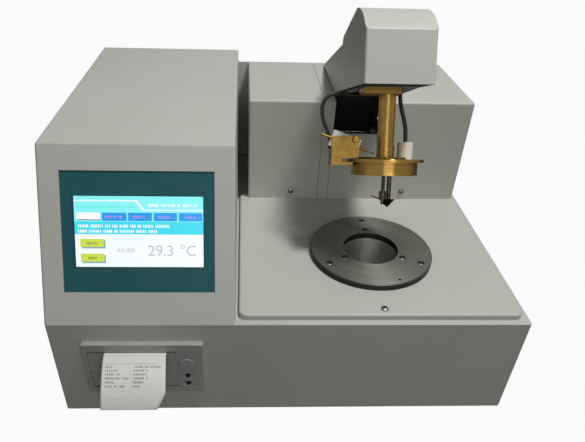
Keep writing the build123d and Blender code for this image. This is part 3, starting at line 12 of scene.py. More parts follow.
import bmesh
import bpy
from mathutils import Matrix, Vector


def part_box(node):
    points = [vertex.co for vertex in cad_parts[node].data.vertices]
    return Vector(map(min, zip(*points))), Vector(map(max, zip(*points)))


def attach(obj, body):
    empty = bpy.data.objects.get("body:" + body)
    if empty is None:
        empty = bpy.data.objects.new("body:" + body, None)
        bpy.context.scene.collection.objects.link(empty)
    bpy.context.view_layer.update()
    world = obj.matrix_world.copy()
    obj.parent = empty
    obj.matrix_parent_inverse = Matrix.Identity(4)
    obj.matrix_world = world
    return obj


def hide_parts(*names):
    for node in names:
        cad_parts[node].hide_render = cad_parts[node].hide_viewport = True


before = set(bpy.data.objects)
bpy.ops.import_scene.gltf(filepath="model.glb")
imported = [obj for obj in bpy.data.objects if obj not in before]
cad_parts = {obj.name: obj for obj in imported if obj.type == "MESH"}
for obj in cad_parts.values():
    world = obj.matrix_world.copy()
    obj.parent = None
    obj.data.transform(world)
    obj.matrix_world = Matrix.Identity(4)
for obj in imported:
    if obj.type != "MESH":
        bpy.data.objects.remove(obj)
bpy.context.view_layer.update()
CASE_LOW, CASE_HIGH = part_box("chassis_shell")
MM = 0.001
print("frame", len(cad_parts), "nodes, case", [round(v, 4) for v in CASE_HIGH - CASE_LOW])

# %% [markdown]
# ## The camera
#
# The instrument is seen from the front, a little left of its middle and from well above. Blender's camera
# looks down its own -Z, so the three turns are built up from plain directions: first round the upright, then
# down, then a slight roll. The lens shift moves the frame without bending the upright edges any further.

# %% Place the camera
IMAGE_W = 585
IMAGE_H = 442
FOCAL_PX = 554.8
CENTRE_PX = (265.0, 261.0)
EYE = Vector((-46.1, -376.1, 461.0)) * MM
YAW = math.radians(2.86)
PITCH = math.radians(35.98)
ROLL = math.radians(1.89)


def camera_axes(yaw, pitch, roll):
    """The camera's right, up and forward directions."""
    ahead = Vector((math.sin(yaw), math.cos(yaw), 0))
    side = Vector((math.cos(yaw), -math.sin(yaw), 0))
    upright = Vector((0, 0, 1))
    forward = ahead * math.cos(pitch) - upright * math.sin(pitch)
    lifted = upright * math.cos(pitch) + ahead * math.sin(pitch)
    right = side * math.cos(roll) + lifted * math.sin(roll)
    up = lifted * math.cos(roll) - side * math.sin(roll)
    return right, up, forward


lens = bpy.data.cameras.new("camera")
lens.sensor_fit = "HORIZONTAL"
lens.sensor_width = 36.0
lens.lens = FOCAL_PX * 36.0 / IMAGE_W
lens.shift_x = (IMAGE_W / 2 - CENTRE_PX[0]) / IMAGE_W
lens.shift_y = (CENTRE_PX[1] - IMAGE_H / 2) / IMAGE_W
lens.clip_start = 0.02
camera = bpy.data.objects.new("camera", lens)
bpy.context.scene.collection.objects.link(camera)
right, up, forward = camera_axes(YAW, PITCH, ROLL)
turn = Matrix((right, up, -forward)).transposed()
camera.matrix_world = Matrix.Translation(EYE + Vector((0, CASE_LOW.y, CASE_LOW.z))) @ turn.to_4x4()
bpy.context.scene.camera = camera
print("camera at", [round(v, 3) for v in camera.matrix_world.translation])

# %% [markdown]
# ## Light and floor
#
# A small key lamp hangs high over the right of the instrument, so the tops are the brightest faces and the
# arm throws its shadow on the tower. A wider and weaker lamp stands low in front of it for the upright faces.
# The floor and the world look white to the camera, through the Light Path node, and light the object little.
# Shiny surfaces see only two fifths of the white of the sky, and none of the floor's.

# %% Build the studio
KEY_POWER = 17.6
KEY_SIZE = 0.2
KEY_REACH = 1.5
KEY_WAY = Vector((0.25, -0.17, 1.0)).normalized()
FILL_POWER = 3.2
FILL_SIZE = 0.8
FILL_REACH = 1.5
FILL_WAY = Vector((0.08, -0.95, 0.30)).normalized()
WORLD_LIGHT = 0.13
FLOOR_TONE = (0.10, 0.10, 0.095, 1.0)
FLOOR_WHITE = 0.96
FLOOR_SHINE = 0.0
SKY_WHITE = 1.0
SKY_SHINE = 0.4


def colour(code):
    """A hex colour as linear light."""
    parts = [int(code[i:i + 2], 16) / 255 for i in (1, 3, 5)]
    return [p / 12.92 if p <= 0.04045 else ((p + 0.055) / 1.055) ** 2.4 for p in parts]


def area_lamp(name, power, size, place, target):
    """A square soft lamp aimed at a point."""
    data = bpy.data.lights.new(name, "AREA")
    data.energy = power
    data.size = size
    lamp = bpy.data.objects.new(name, data)
    lamp.location = place
    lamp.rotation_euler = (Vector(target) - Vector(place)).to_track_quat("-Z", "Y").to_euler()
    bpy.context.scene.collection.objects.link(lamp)
    return lamp


LAMP_AIM = Vector((0.03, 0.03, 0.18))
area_lamp("key", KEY_POWER, KEY_SIZE, LAMP_AIM + KEY_WAY * KEY_REACH, LAMP_AIM)
area_lamp("fill", FILL_POWER, FILL_SIZE, LAMP_AIM + FILL_WAY * FILL_REACH, LAMP_AIM)


def seen_white(tree, lit, amount, shine):
    """Mix a surface or sky with plain white for the camera, and less for shiny surfaces."""
    path = tree.nodes.new("ShaderNodeLightPath")
    seen = tree.nodes.new("ShaderNodeMath")
    seen.operation = "MULTIPLY"
    seen.inputs[1].default_value = amount
    tree.links.new(path.outputs["Is Camera Ray"], seen.inputs[0])
    share = tree.nodes.new("ShaderNodeMath")
    share.operation = "MULTIPLY_ADD"
    share.inputs[1].default_value = shine
    tree.links.new(path.outputs["Is Glossy Ray"], share.inputs[0])
    tree.links.new(seen.outputs[0], share.inputs[2])
    blend = tree.nodes.new("ShaderNodeMixShader")
    tree.links.new(share.outputs[0], blend.inputs["Fac"])
    tree.links.new(lit, blend.inputs[1])
    return blend


world = bpy.data.worlds.new("studio")
bpy.context.scene.world = world
world.use_nodes = True
sky = world.node_tree.nodes["Background"]
sky.inputs["Color"].default_value = (1.0, 1.0, 0.98, 1.0)
sky.inputs["Strength"].default_value = WORLD_LIGHT
white_sky = world.node_tree.nodes.new("ShaderNodeBackground")
white_sky.inputs["Color"].default_value = (1.0, 1.0, 1.0, 1.0)
white_sky.inputs["Strength"].default_value = 1.0
sky_mix = seen_white(world.node_tree, sky.outputs[0], SKY_WHITE, SKY_SHINE)
world.node_tree.links.new(white_sky.outputs[0], sky_mix.inputs[2])
world.node_tree.links.new(sky_mix.outputs[0], world.node_tree.nodes["World Output"].inputs["Surface"])

floor_mesh = bpy.data.meshes.new("floor")
FLOOR_REACH = 4.0
corners = [(-FLOOR_REACH, -FLOOR_REACH, 0), (FLOOR_REACH, -FLOOR_REACH, 0),
           (FLOOR_REACH, FLOOR_REACH, 0), (-FLOOR_REACH, FLOOR_REACH, 0)]
floor_mesh.from_pydata(corners, [], [(0, 1, 2, 3)])
floor = bpy.data.objects.new("floor", floor_mesh)
bpy.context.scene.collection.objects.link(floor)
floor_finish = bpy.data.materials.new("floor_white")
floor_finish.use_nodes = True
floor_shader = floor_finish.node_tree.nodes["Principled BSDF"]
floor_shader.inputs["Base Color"].default_value = FLOOR_TONE
floor_shader.inputs["Roughness"].default_value = 0.9
floor_glow = floor_finish.node_tree.nodes.new("ShaderNodeEmission")
floor_mix = seen_white(floor_finish.node_tree, floor_shader.outputs[0], FLOOR_WHITE, FLOOR_SHINE)
floor_finish.node_tree.links.new(floor_glow.outputs[0], floor_mix.inputs[2])
floor_finish.node_tree.links.new(
    floor_mix.outputs[0], floor_finish.node_tree.nodes["Material Output"].inputs["Surface"])
floor_mesh.materials.append(floor_finish)
bpy.context.scene.view_settings.view_transform = "Standard"
print("studio ready")

# %% [markdown]
# ## The leads on the head
#
# Two short black leads hang at the lid: one goes to the igniter and one into the flash detector. They are
# NURBS curves through a few listed points. The points are given with the lid down on the cup, which
# is the easier pose to think in, and are then turned with the arm to where it stands when it is raised.

# %% Route the leads
LIFT = math.radians(25.0)
HINGE_Y = 300.0 * MM
HINGE_Z = 177.5 * MM


def on_raised_arm(point):
    """A point of the lowered head, turned to the raised pose, in the model's frame."""
    back = point[1] - HINGE_Y
    high = point[2] - HINGE_Z
    y = HINGE_Y + back * math.cos(LIFT) + high * math.sin(LIFT)
    z = HINGE_Z - back * math.sin(LIFT) + high * math.cos(LIFT)
    return Vector((point[0], y + CASE_LOW.y, z + CASE_LOW.z))


def lead_curve(name, points, radius):
    """A round lead whose line is a smooth curve steered by its points."""
    data = bpy.data.curves.new(name, "CURVE")
    data.dimensions = "3D"
    data.bevel_depth = radius
    data.bevel_resolution = 5
    data.resolution_u = 16
    data.use_fill_caps = True
    spline = data.splines.new("NURBS")
    spline.points.add(len(points) - 1)
    for place, point in zip(spline.points, points):
        place.co = (*on_raised_arm(Vector(point) * MM), 1.0)
    spline.order_u = 3
    spline.use_endpoint_u = True
    lead = bpy.data.objects.new(name, data)
    bpy.context.scene.collection.objects.link(lead)
    return lead


IGNITER_LEAD = (
    (77.0, 128.0, 211.4), (68.0, 121.0, 205.5), (57.0, 115.5, 204.8), (45.0, 112.0, 205.6),
    (35.0, 110.6, 203.4), (29.2, 110.3, 196.5), (28.6, 110.6, 188.0), (31.0, 111.0, 178.5),
    (35.2, 111.6, 169.5), (37.95, 112.0, 161.5), (37.95, 112.0, 153.5),
)
DETECTOR_LEAD = (
    (103.5, 113.5, 211.4), (103.9, 113.0, 201.0), (106.3, 112.0, 189.0), (109.6, 110.7, 177.5),
    (110.5, 110.0, 168.0), (110.5, 110.0, 159.5),
)
igniter_lead = lead_curve("igniter_lead_curve", IGNITER_LEAD, 1.7 * MM)
detector_lead = lead_curve("detector_lead_curve", DETECTOR_LEAD, 2.0 * MM)
print("leads routed")

# %% [markdown]
# ## Helpers for finishes
#
# Each finish is one Principled shader. Small networks of noise read Object coordinates, which stay on a
# piece when it moves, and give its colour, roughness and bump the unevenness of the real surface.

# %% Shader helpers


def finish(name, code, roughness, metallic=0.0):
    """A new material with its node tree and shader."""
    made = bpy.data.materials.new(name)
    made.use_nodes = True
    shader = made.node_tree.nodes["Principled BSDF"]
    shader.inputs["Base Color"].default_value = (*colour(code), 1.0)
    shader.inputs["Roughness"].default_value = roughness
    shader.inputs["Metallic"].default_value = metallic
    return made, made.node_tree, shader


def grain(tree, scale, detail=2.0, stretch=(1.0, 1.0, 1.0)):
    """A noise in Object coordinates, stretched along any axis."""
    coords = tree.nodes.new("ShaderNodeTexCoord")
    mapping = tree.nodes.new("ShaderNodeMapping")
    mapping.inputs["Scale"].default_value = stretch
    noise = tree.nodes.new("ShaderNodeTexNoise")
    noise.inputs["Scale"].default_value = scale
    noise.inputs["Detail"].default_value = detail
    tree.links.new(coords.outputs["Object"], mapping.inputs["Vector"])
    tree.links.new(mapping.outputs["Vector"], noise.inputs["Vector"])
    return noise.outputs["Fac"]


def spread(tree, source, low, high, start=0.3, end=0.7):
    """Map a noise onto a range of numbers."""
    made = tree.nodes.new("ShaderNodeMapRange")
    made.inputs["From Min"].default_value = start
    made.inputs["From Max"].default_value = end
    made.inputs["To Min"].default_value = low
    made.inputs["To Max"].default_value = high
    tree.links.new(source, made.inputs["Value"])
    return made.outputs["Result"]


def tint(tree, source, first, second):
    """Mix two hex colours by a noise."""
    mix = tree.nodes.new("ShaderNodeMix")
    mix.data_type = "RGBA"
    mix.inputs["A"].default_value = (*colour(first), 1.0)
    mix.inputs["B"].default_value = (*colour(second), 1.0)
    tree.links.new(spread(tree, source, 0.0, 1.0), mix.inputs["Factor"])
    return mix.outputs["Result"]


def roughen(tree, shader, source, strength, distance):
    """Let a noise push the surface in and out."""
    bump = tree.nodes.new("ShaderNodeBump")
    bump.inputs["Strength"].default_value = strength
    bump.inputs["Distance"].default_value = distance
    tree.links.new(source, bump.inputs["Height"])
    tree.links.new(bump.outputs["Normal"], shader.inputs["Normal"])


def dress(made, *names):
    """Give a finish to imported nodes."""
    for name in names:
        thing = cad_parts[name]
        if thing.material_slots:
            for place in thing.material_slots:
                place.material = made
        else:
            thing.data.materials.append(made)


# %% [markdown]
# ## Powder coat
#
# The case is folded sheet with a satin powder coat. Powder coat isn't flat: it has a fine orange peel, and
# its gloss varies a little from place to place. Two noises do that, one for each size of unevenness.

# %% Paint the case


def powder_coat(name, first, second, rough):
    """A satin powder coat between two close shades."""
    made, tree, shader = finish(name, first, rough)
    broad = grain(tree, 7.0, 3.0)
    tree.links.new(tint(tree, broad, first, second), shader.inputs["Base Color"])
    uneven = spread(tree, grain(tree, 22.0, 2.0), rough - 0.05, rough + 0.06)
    tree.links.new(uneven, shader.inputs["Roughness"])
    roughen(tree, shader, grain(tree, 900.0, 2.0), 0.10, 0.0004)
    shader.inputs["Specular IOR Level"].default_value = 0.4
    return made


case_paint = powder_coat("case_paint", "#B3B4AB", "#B8B9B1", 0.46)
dress(case_paint, "chassis_shell", "console_cover", "deck_plateau", "tower_cover_left",
      "tower_cover_right", "tower_centre", "rear_panel", "arm_cover")
print("case painted")

# %% [markdown]
# ## Metals
#
# The lid and column are turned brass, the ring is dark turned steel and the well is polished. A lathe leaves
# fine rings round its axis, so the pattern is made from the distance to that axis and the place along it, and
# the highlight is drawn out across the rings, which is what gives a turned bar its long bright streak.
# A Mapping node of the texture kind moves the coordinates to the axis and lays them along the tilted head.

# %% Turned metal
HEAD_X = 90.0 * MM
WELL_Y = 106.0 * MM
WELL_AXIS = Vector((HEAD_X, WELL_Y + CASE_LOW.y, 0.0))
HEAD_AXIS = on_raised_arm(Vector((90.0, 106.0, 144.4)) * MM)


def lathe_rings(tree, place, tilt, scale):
    """Noise that runs in rings round an axis."""
    coords = tree.nodes.new("ShaderNodeTexCoord")
    mapping = tree.nodes.new("ShaderNodeMapping")
    mapping.vector_type = "TEXTURE"
    mapping.inputs["Location"].default_value = place
    mapping.inputs["Rotation"].default_value = (tilt, 0.0, 0.0)
    parts = tree.nodes.new("ShaderNodeSeparateXYZ")
    flat = tree.nodes.new("ShaderNodeCombineXYZ")
    reach = tree.nodes.new("ShaderNodeVectorMath")
    reach.operation = "LENGTH"
    place_on_lathe = tree.nodes.new("ShaderNodeCombineXYZ")
    noise = tree.nodes.new("ShaderNodeTexNoise")
    noise.inputs["Scale"].default_value = scale
    noise.inputs["Detail"].default_value = 3.0
    tree.links.new(coords.outputs["Object"], mapping.inputs["Vector"])
    tree.links.new(mapping.outputs["Vector"], parts.inputs["Vector"])
    tree.links.new(parts.outputs["X"], flat.inputs["X"])
    tree.links.new(parts.outputs["Y"], flat.inputs["Y"])
    tree.links.new(flat.outputs["Vector"], reach.inputs[0])
    tree.links.new(reach.outputs["Value"], place_on_lathe.inputs["X"])
    tree.links.new(parts.outputs["Z"], place_on_lathe.inputs["Y"])
    tree.links.new(place_on_lathe.outputs["Vector"], noise.inputs["Vector"])
    return noise.outputs["Fac"]


def lathe_sheen(tree, shader, place, tilt, amount):
    """Stretch the highlight across the lathe marks: along the axis on walls, outwards on faces."""
    coords = tree.nodes.new("ShaderNodeTexCoord")
    outwards = tree.nodes.new("ShaderNodeVectorMath")
    outwards.operation = "SUBTRACT"
    outwards.inputs[1].default_value = place
    across = tree.nodes.new("ShaderNodeVectorMath")
    across.operation = "ADD"
    across.inputs[1].default_value = (0.0, -math.sin(tilt), math.cos(tilt))
    moved = tree.nodes.new("ShaderNodeVectorTransform")
    moved.vector_type = "VECTOR"
    moved.convert_from = "OBJECT"
    moved.convert_to = "WORLD"
    tree.links.new(coords.outputs["Object"], outwards.inputs[0])
    tree.links.new(outwards.outputs["Vector"], across.inputs[0])
    tree.links.new(across.outputs["Vector"], moved.inputs["Vector"])
    tree.links.new(moved.outputs["Vector"], shader.inputs["Tangent"])
    shader.inputs["Anisotropic"].default_value = amount


def turned_metal(name, first, second, rough, place, tilt, scale=900.0, depth=0.12):
    """A metal with lathe rings and faint handling marks."""
    made, tree, shader = finish(name, first, rough, 1.0)
    lathe_sheen(tree, shader, place, tilt, 0.85)
    rings = lathe_rings(tree, place, tilt, scale)
    stain = grain(tree, 60.0, 3.0)
    tree.links.new(tint(tree, stain, first, second), shader.inputs["Base Color"])
    tree.links.new(spread(tree, rings, rough - 0.08, rough + 0.10), shader.inputs["Roughness"])
    roughen(tree, shader, rings, depth, 0.0003)
    return made


def plain_metal(name, first, second, rough, scale=120.0, metallic=1.0):
    """A metal with a faint cloudy change of shade."""
    made, tree, shader = finish(name, first, rough, metallic)
    tree.links.new(tint(tree, grain(tree, scale, 3.0), first, second), shader.inputs["Base Color"])
    tree.links.new(spread(tree, grain(tree, scale * 3, 2.0), rough - 0.06, rough + 0.08),
                   shader.inputs["Roughness"])
    roughen(tree, shader, grain(tree, scale * 8, 2.0), 0.05, 0.0002)
    return made


turned_brass = turned_metal("turned_brass", "#BC9A54", "#A37E3E", 0.29, HEAD_AXIS, -LIFT, 900.0, 0.03)
sheet_brass = plain_metal("sheet_brass", "#8F723A", "#7B602D", 0.36)
well_steel = turned_metal("well_steel", "#C6C6C0", "#B6B6B1", 0.42, WELL_AXIS, 0.0, 600.0, 0.02)
bright_steel = plain_metal("bright_steel", "#A9A9A6", "#8F8F8C", 0.28)
zinc_plate = plain_metal("zinc_plate", "#9B9D9C", "#86898A", 0.42, 60.0)
cast_aluminium = plain_metal("cast_aluminium", "#9A9A9B", "#87878A", 0.55, 90.0)
bronze = plain_metal("bronze", "#7A5E34", "#62481F", 0.40)
stirrer_metal = plain_metal("stirrer_metal", "#5A5142", "#3F382D", 0.34)
dress(turned_brass, "column", "lid", "probe_gland")
dress(bronze, "shutter")
dress(sheet_brass, "column_bracket", "igniter_bracket", "igniter_pivot_screw", "igniter_tube")
dress(well_steel, "cup_well")
dress(stirrer_metal, "temperature_probe")
dress(bright_steel, "arm_shaft", "lift_pinion", "sector_gear")
dress(stirrer_metal, "stirrer")
dress(zinc_plate, "bottom_plate", "power_supply", "screen_module")
dress(cast_aluminium, "heater_block")
dress(bronze, "pivot_bushes")
print("metals done")

# %% [markdown]
# ## The ring
#
# The faces of the ring that look up are a lighter grey, and its rim and its hole are near black. The height
# part of the normal, in Object coordinates, tells the face from the rim and the hole.

# %% Ring, lighter where it faces up
ring_steel, ring_tree, ring_shader = finish("ring_steel", "#8C8C84", 0.46, 1.0)
ring_marks = lathe_rings(ring_tree, WELL_AXIS, 0.0, 700.0)
ring_face = tint(ring_tree, grain(ring_tree, 18.0, 3.0), "#96968D", "#7F7F77")
ring_side = ring_tree.nodes.new("ShaderNodeTexCoord")
ring_parts = ring_tree.nodes.new("ShaderNodeSeparateXYZ")
ring_tree.links.new(ring_side.outputs["Normal"], ring_parts.inputs["Vector"])
ring_mix = ring_tree.nodes.new("ShaderNodeMix")
ring_mix.data_type = "RGBA"
ring_mix.inputs["A"].default_value = (*colour("#3A3A37"), 1.0)
ring_tree.links.new(spread(ring_tree, ring_parts.outputs["Z"], 0.0, 1.0, 0.6, 0.9), ring_mix.inputs["Factor"])
ring_tree.links.new(ring_face, ring_mix.inputs["B"])
ring_tree.links.new(ring_mix.outputs["Result"], ring_shader.inputs["Base Color"])
ring_tree.links.new(spread(ring_tree, ring_marks, 0.42, 0.54), ring_shader.inputs["Roughness"])
roughen(ring_tree, ring_shader, ring_marks, 0.05, 0.0003)
lathe_sheen(ring_tree, ring_shader, WELL_AXIS, 0.0, 0.5)
dress(ring_steel, "stove_ring")
print("ring turned")

# %% [markdown]
# ## Plastics, rubber, ceramic and the black frame
#
# Moulded plastic has a fine spark-eroded texture, rubber is duller and rougher, and fired ceramic is nearly
# white with a soft shine. They share one recipe with different sizes of noise.

# %% Moulded and fired finishes


def moulded(name, first, second, rough, peel=1600.0, depth=0.12):
    """A plastic, rubber or ceramic with a fine texture."""
    made, tree, shader = finish(name, first, rough)
    tree.links.new(tint(tree, grain(tree, 25.0, 2.0), first, second), shader.inputs["Base Color"])
    uneven = spread(tree, grain(tree, 70.0, 2.0), rough - 0.05, rough + 0.06)
    tree.links.new(uneven, shader.inputs["Roughness"])
    roughen(tree, shader, grain(tree, peel, 2.0), depth, 0.0003)
    return made


teal_plastic = moulded("teal_plastic", "#1D595F", "#195258", 0.46)
teal_plastic.node_tree.nodes["Principled BSDF"].inputs["Specular IOR Level"].default_value = 0.25
printer_grey = moulded("printer_grey", "#A0A09D", "#999996", 0.44)
slot_black = moulded("slot_black", "#1A1A1A", "#131313", 0.4)
soft_rubber = moulded("soft_rubber", "#1B1B1B", "#141414", 0.7, 700.0, 0.25)
lead_rubber = moulded("lead_rubber", "#050505", "#090909", 0.4, 900.0, 0.08)
white_ceramic = moulded("white_ceramic", "#DEDDD2", "#D4D3C7", 0.45, 900.0, 0.06)
fibre_white = moulded("fibre_white", "#DAD5C7", "#C9C2B0", 0.9, 500.0, 0.5)
board_green = moulded("board_green", "#1C5A34", "#174D2C", 0.4)
# Near black for the frame, stand and motors: partly their own black paint, partly painted shade of the unlit
# slot they sit in.
frame_black_and_slot_shade = moulded("frame_black_and_slot_shade", "#1F1F20", "#171718", 0.42, 800.0, 0.15)
paper_white = moulded("paper_white", "#D9D9D2", "#D2D2CB", 0.6, 500.0, 0.05)
dress(teal_plastic, "screen_bezel")
dress(printer_grey, "printer_bezel", "printer_door", "printer_body", "printer_open_button")
dress(slot_black, "power_inlet", "switch_housing", "power_rocker", "fan_frame", "fan_rotor")
dress(slot_black, "feed_key", "select_key")
dress(soft_rubber, "feet", "platen_roller")
dress(white_ceramic, "igniter_block", "detector_holder")
dress(fibre_white, "insulation_sleeve")
dress(board_green, "main_board")
# These slot parts carry painted shade as well as their own dark paint.
dress(frame_black_and_slot_shade, "arm_frame", "pivot_stand", "lift_motor", "stirrer_motor")
dress(paper_white, "paper_roll")
for lead, node_name, route, radius, length in (
        (igniter_lead, "igniter_lead", IGNITER_LEAD, 1.7 * MM, 0.098),
        (detector_lead, "detector_lead", DETECTOR_LEAD, 2.0 * MM, 0.0515)):
    lead.data.materials.append(lead_rubber)
    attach(lead, "arm")
    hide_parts(node_name)
print("plastics done")

# %% [markdown]
# ## The lit screen
#
# The screen is a flat glass with coloured areas under it. Each area is a very thin plate on the glass, and
# all the plates of one colour are one mesh. A short function turns a place on the screen, measured in
# millimetres from its top left corner, into a place on the sloping face. There is no wording: short bars
# stand for lines of text, and only the reading is drawn as figures.

# %% Screen geometry
SLOPE_RUN = 73.0
SLOPE_RISE = 144.0
LCD_W = 115.2
LCD_H = 65.0
GLASS_T = 1.8
PLATE_T = 0.03
lean = math.atan2(SLOPE_RUN, SLOPE_RISE)
UP_SLOPE = Vector((0, math.sin(lean), math.cos(lean)))
OUT_SLOPE = Vector((0, -math.cos(lean), math.sin(lean)))
glass_low, glass_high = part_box("screen_glass")
GLASS_FACE = (glass_low + glass_high) / 2 + OUT_SLOPE * GLASS_T / 2 * MM


def on_screen(across, down, level):
    """A point of the screen, in millimetres from its top left corner, at a level above the glass."""
    x = (across - LCD_W / 2) * MM
    y = (LCD_H / 2 - down) * MM
    return GLASS_FACE + Vector((x, 0, 0)) + UP_SLOPE * y + OUT_SLOPE * (level * PLATE_T * MM)


def add_plate(mesh, corners, level):
    """A thin plate whose front is at a level and whose back is on the glass."""
    front = [mesh.verts.new(on_screen(x, y, level)) for x, y in corners]
    back = [mesh.verts.new(on_screen(x, y, 0)) for x, y in corners]
    mesh.faces.new(front)
    mesh.faces.new(list(reversed(back)))
    for i in range(len(corners)):
        j = (i + 1) % len(corners)
        mesh.faces.new((front[j], front[i], back[i], back[j]))


def rectangle(x0, y0, x1, y1):
    """The corners of an upright rectangle, anticlockwise as the user sees it."""
    return [(x0, y1), (x1, y1), (x1, y0), (x0, y0)]


def new_piece(name, mesh, made, body):
    """Link a finished mesh as a piece, and let it ride on a body where one is named."""
    data = bpy.data.meshes.new(name)
    bmesh.ops.recalc_face_normals(mesh, faces=mesh.faces)
    mesh.to_mesh(data)
    mesh.free()
    data.materials.append(made)
    piece = bpy.data.objects.new(name, data)
    bpy.context.scene.collection.objects.link(piece)
    if body:
        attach(piece, body)
    return piece


def lit(name, code, strength=0.92):
    """A glowing area of the screen behind glass."""
    made, tree, shader = finish(name, code, 0.25)
    shader.inputs["Base Color"].default_value = (*[c * 0.08 for c in colour(code)], 1.0)
    shader.inputs["Emission Color"].default_value = (*colour(code), 1.0)
    shader.inputs["Emission Strength"].default_value = strength
    return made


# %% Screen areas
LINE_T = 1.1
HEADER = (0.0, 0.0, LCD_W, 23.0)
NOTCH = [(0.0, 4.0), (56.0, 4.0), (62.0, 12.2), (LCD_W, 12.2)]
TABS = [(25.6, 47.2), (48.6, 69.4), (71.0, 91.6), (93.2, 113.9)]
TAB_TOP = 15.0
TAB_LOW = 22.3
INFO = (0.0, 23.0, LCD_W, 34.2)
BUTTONS = (38.4, 51.6)
BUTTON_W = 20.8
BUTTON_H = 7.3
BUTTON_SHADE = 1.2
BUTTON_X = 5.9

screen_art = {
    "screen_sky": (lit("screen_sky", "#86F8FA"), [(rectangle(*HEADER), 1)]),
    "screen_info": (lit("screen_info", "#36DDF3"), [(rectangle(*INFO), 1)]),
    "screen_tabs": (lit("screen_tabs", "#1E9AEE"),
                    [(rectangle(a, TAB_TOP, b, TAB_LOW), 2) for a, b in TABS]),
    "screen_white": (lit("screen_white", "#FCFCFC"),
                     [(rectangle(3.6, TAB_TOP, 23.8, TAB_LOW - 1.2), 3)]),
    "screen_shade": (lit("screen_shade", "#6FA5C4"),
                     [(rectangle(BUTTON_X + BUTTON_SHADE, top + BUTTON_SHADE,
                                 BUTTON_X + BUTTON_W + BUTTON_SHADE, top + BUTTON_H + BUTTON_SHADE), 1)
                      for top in BUTTONS]),
    "screen_red": (lit("screen_red", "#8E3F45"), [(rectangle(4.4, TAB_LOW - 1.6, 24.4, TAB_LOW - 0.5), 2)]),
    "screen_lime": (lit("screen_lime", "#CFE04C"),
                    [(rectangle(BUTTON_X, top, BUTTON_X + BUTTON_W, top + BUTTON_H), 2) for top in BUTTONS]),
}
for (ax, ay), (bx, by) in zip(NOTCH, NOTCH[1:]):
    slant = (bx - ax) / math.hypot(bx - ax, by - ay) if by != ay else 0.0
    offset = LINE_T * (0.8 if slant else 0.0)
    band = [(ax - offset, ay + LINE_T), (bx - offset, by + LINE_T), (bx + offset, by), (ax + offset, ay)]
    screen_art["screen_white"][1].append((band, 3))
for name, (made, areas) in screen_art.items():
    mesh = bmesh.new()
    for corners, level in areas:
        add_plate(mesh, corners, level)
    new_piece(name, mesh, made, "housing")
dress(lit("screen_ground", "#F4FBFC", 0.95), "screen_glass")
print("screen areas", len(screen_art))

# %% [markdown]
# ## Rows of print
#
# The screen and the paper both carry rows of small print. A row is a line of short bars with gaps like those
# between words. The widths come from a random generator with a fixed seed, so each run gives the same rows.

# %% Print rows
import random


def bars(seed, start, end, letter, gap):
    """The start and end of each bar of a row of print."""
    dice = random.Random(seed)
    at = start
    row = []
    word = dice.randint(3, 8)
    while at + letter < end:
        width = letter * dice.uniform(0.55, 1.0)
        row.append((at, at + width))
        at += letter + gap
        word -= 1
        if word == 0:
            at += letter * 1.2
            word = dice.randint(2, 8)
    return row


SCREEN_ROWS = (
    ("screen_print_white", "#FFFFFF", 3, ((11, 66.5, 110.0, 7.2, 9.6), (12, 4.5, 87.0, 25.6, 28.2),
                                         (13, 4.5, 75.0, 30.2, 32.8))),
    ("screen_print_green", "#6FE0CF", 2, ((14, 4.0, 55.0, 9.4, 10.6),)),
    ("screen_print_rose", "#C58BE8", 3, ((15, 28.0, 44.5, 17.8, 19.8), (16, 52.6, 63.5, 17.8, 19.8),
                                        (17, 74.5, 88.0, 17.8, 19.8), (18, 98.5, 108.0, 17.8, 19.8))),
    ("screen_print_olive", "#8E9B2E", 3, ((19, 11.3, 21.3, 41.2, 43.6), (20, 12.3, 20.3, 54.4, 56.8))),
    ("screen_print_pale", "#D4D4D8", 2, ((21, 38.0, 54.0, 46.6, 50.4),)),
)
for name, code, level, rows in SCREEN_ROWS:
    mesh = bmesh.new()
    for seed, x0, x1, y0, y1 in rows:
        for a, b in bars(seed, x0, x1, 1.25, 0.35):
            add_plate(mesh, rectangle(a, y0, b, y1), level)
    new_piece(name, mesh, lit(name, code), "housing")

# %% The reading in figures
READING = "29.3"
DEGREES = "°C"
FIGURE_H = 9.6


def figures(name, text, across, down, height, made):
    """Text as a thin mesh on the screen."""
    data = bpy.data.curves.new(name, "FONT")
    data.body = text
    data.size = height * MM / 0.7
    data.extrude = PLATE_T * MM
    thing = bpy.data.objects.new(name, data)
    bpy.context.scene.collection.objects.link(thing)
    bpy.context.view_layer.update()
    flat = bpy.data.meshes.new_from_object(thing)
    bpy.data.objects.remove(thing)
    axes = Matrix((Vector((1, 0, 0)), UP_SLOPE, OUT_SLOPE)).transposed().to_4x4()
    flat.transform(Matrix.Translation(on_screen(across, down, 1)) @ axes)
    flat.materials.clear()
    flat.materials.append(made)
    piece = bpy.data.objects.new(name, flat)
    bpy.context.scene.collection.objects.link(piece)
    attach(piece, "housing")
    return piece


pale_figures = lit("screen_figures", "#C2C4CA")
figures("reading_figures", READING, 65.0, 53.4, FIGURE_H, pale_figures)
figures("reading_degrees", DEGREES, 93.5, 53.4, FIGURE_H, pale_figures)
print("screen print done")

# %% [markdown]
# ## The border of the screen
#
# Between the lit picture and the teal bezel there is a dark blue line, wider on the left and at the bottom,
# where the panel sits a little deeper than its frame. It is four thin plates on the edge of the glass.

# %% Border of the screen
EDGE_LEFT = 1.5
EDGE_LOW = 1.5
EDGE_THIN = 0.5
border = bmesh.new()
for x0, y0, x1, y1 in ((0, 0, EDGE_LEFT, LCD_H), (LCD_W - EDGE_THIN, 0, LCD_W, LCD_H),
                       (EDGE_LEFT, 0, LCD_W - EDGE_THIN, EDGE_THIN),
                       (EDGE_LEFT, LCD_H - EDGE_LOW, LCD_W - EDGE_THIN, LCD_H)):
    add_plate(border, rectangle(x0, y0, x1, y1), 4)
new_piece("screen_border", border, moulded("border_navy", "#1B3358", "#183050", 0.4), "housing")
print("screen bordered")
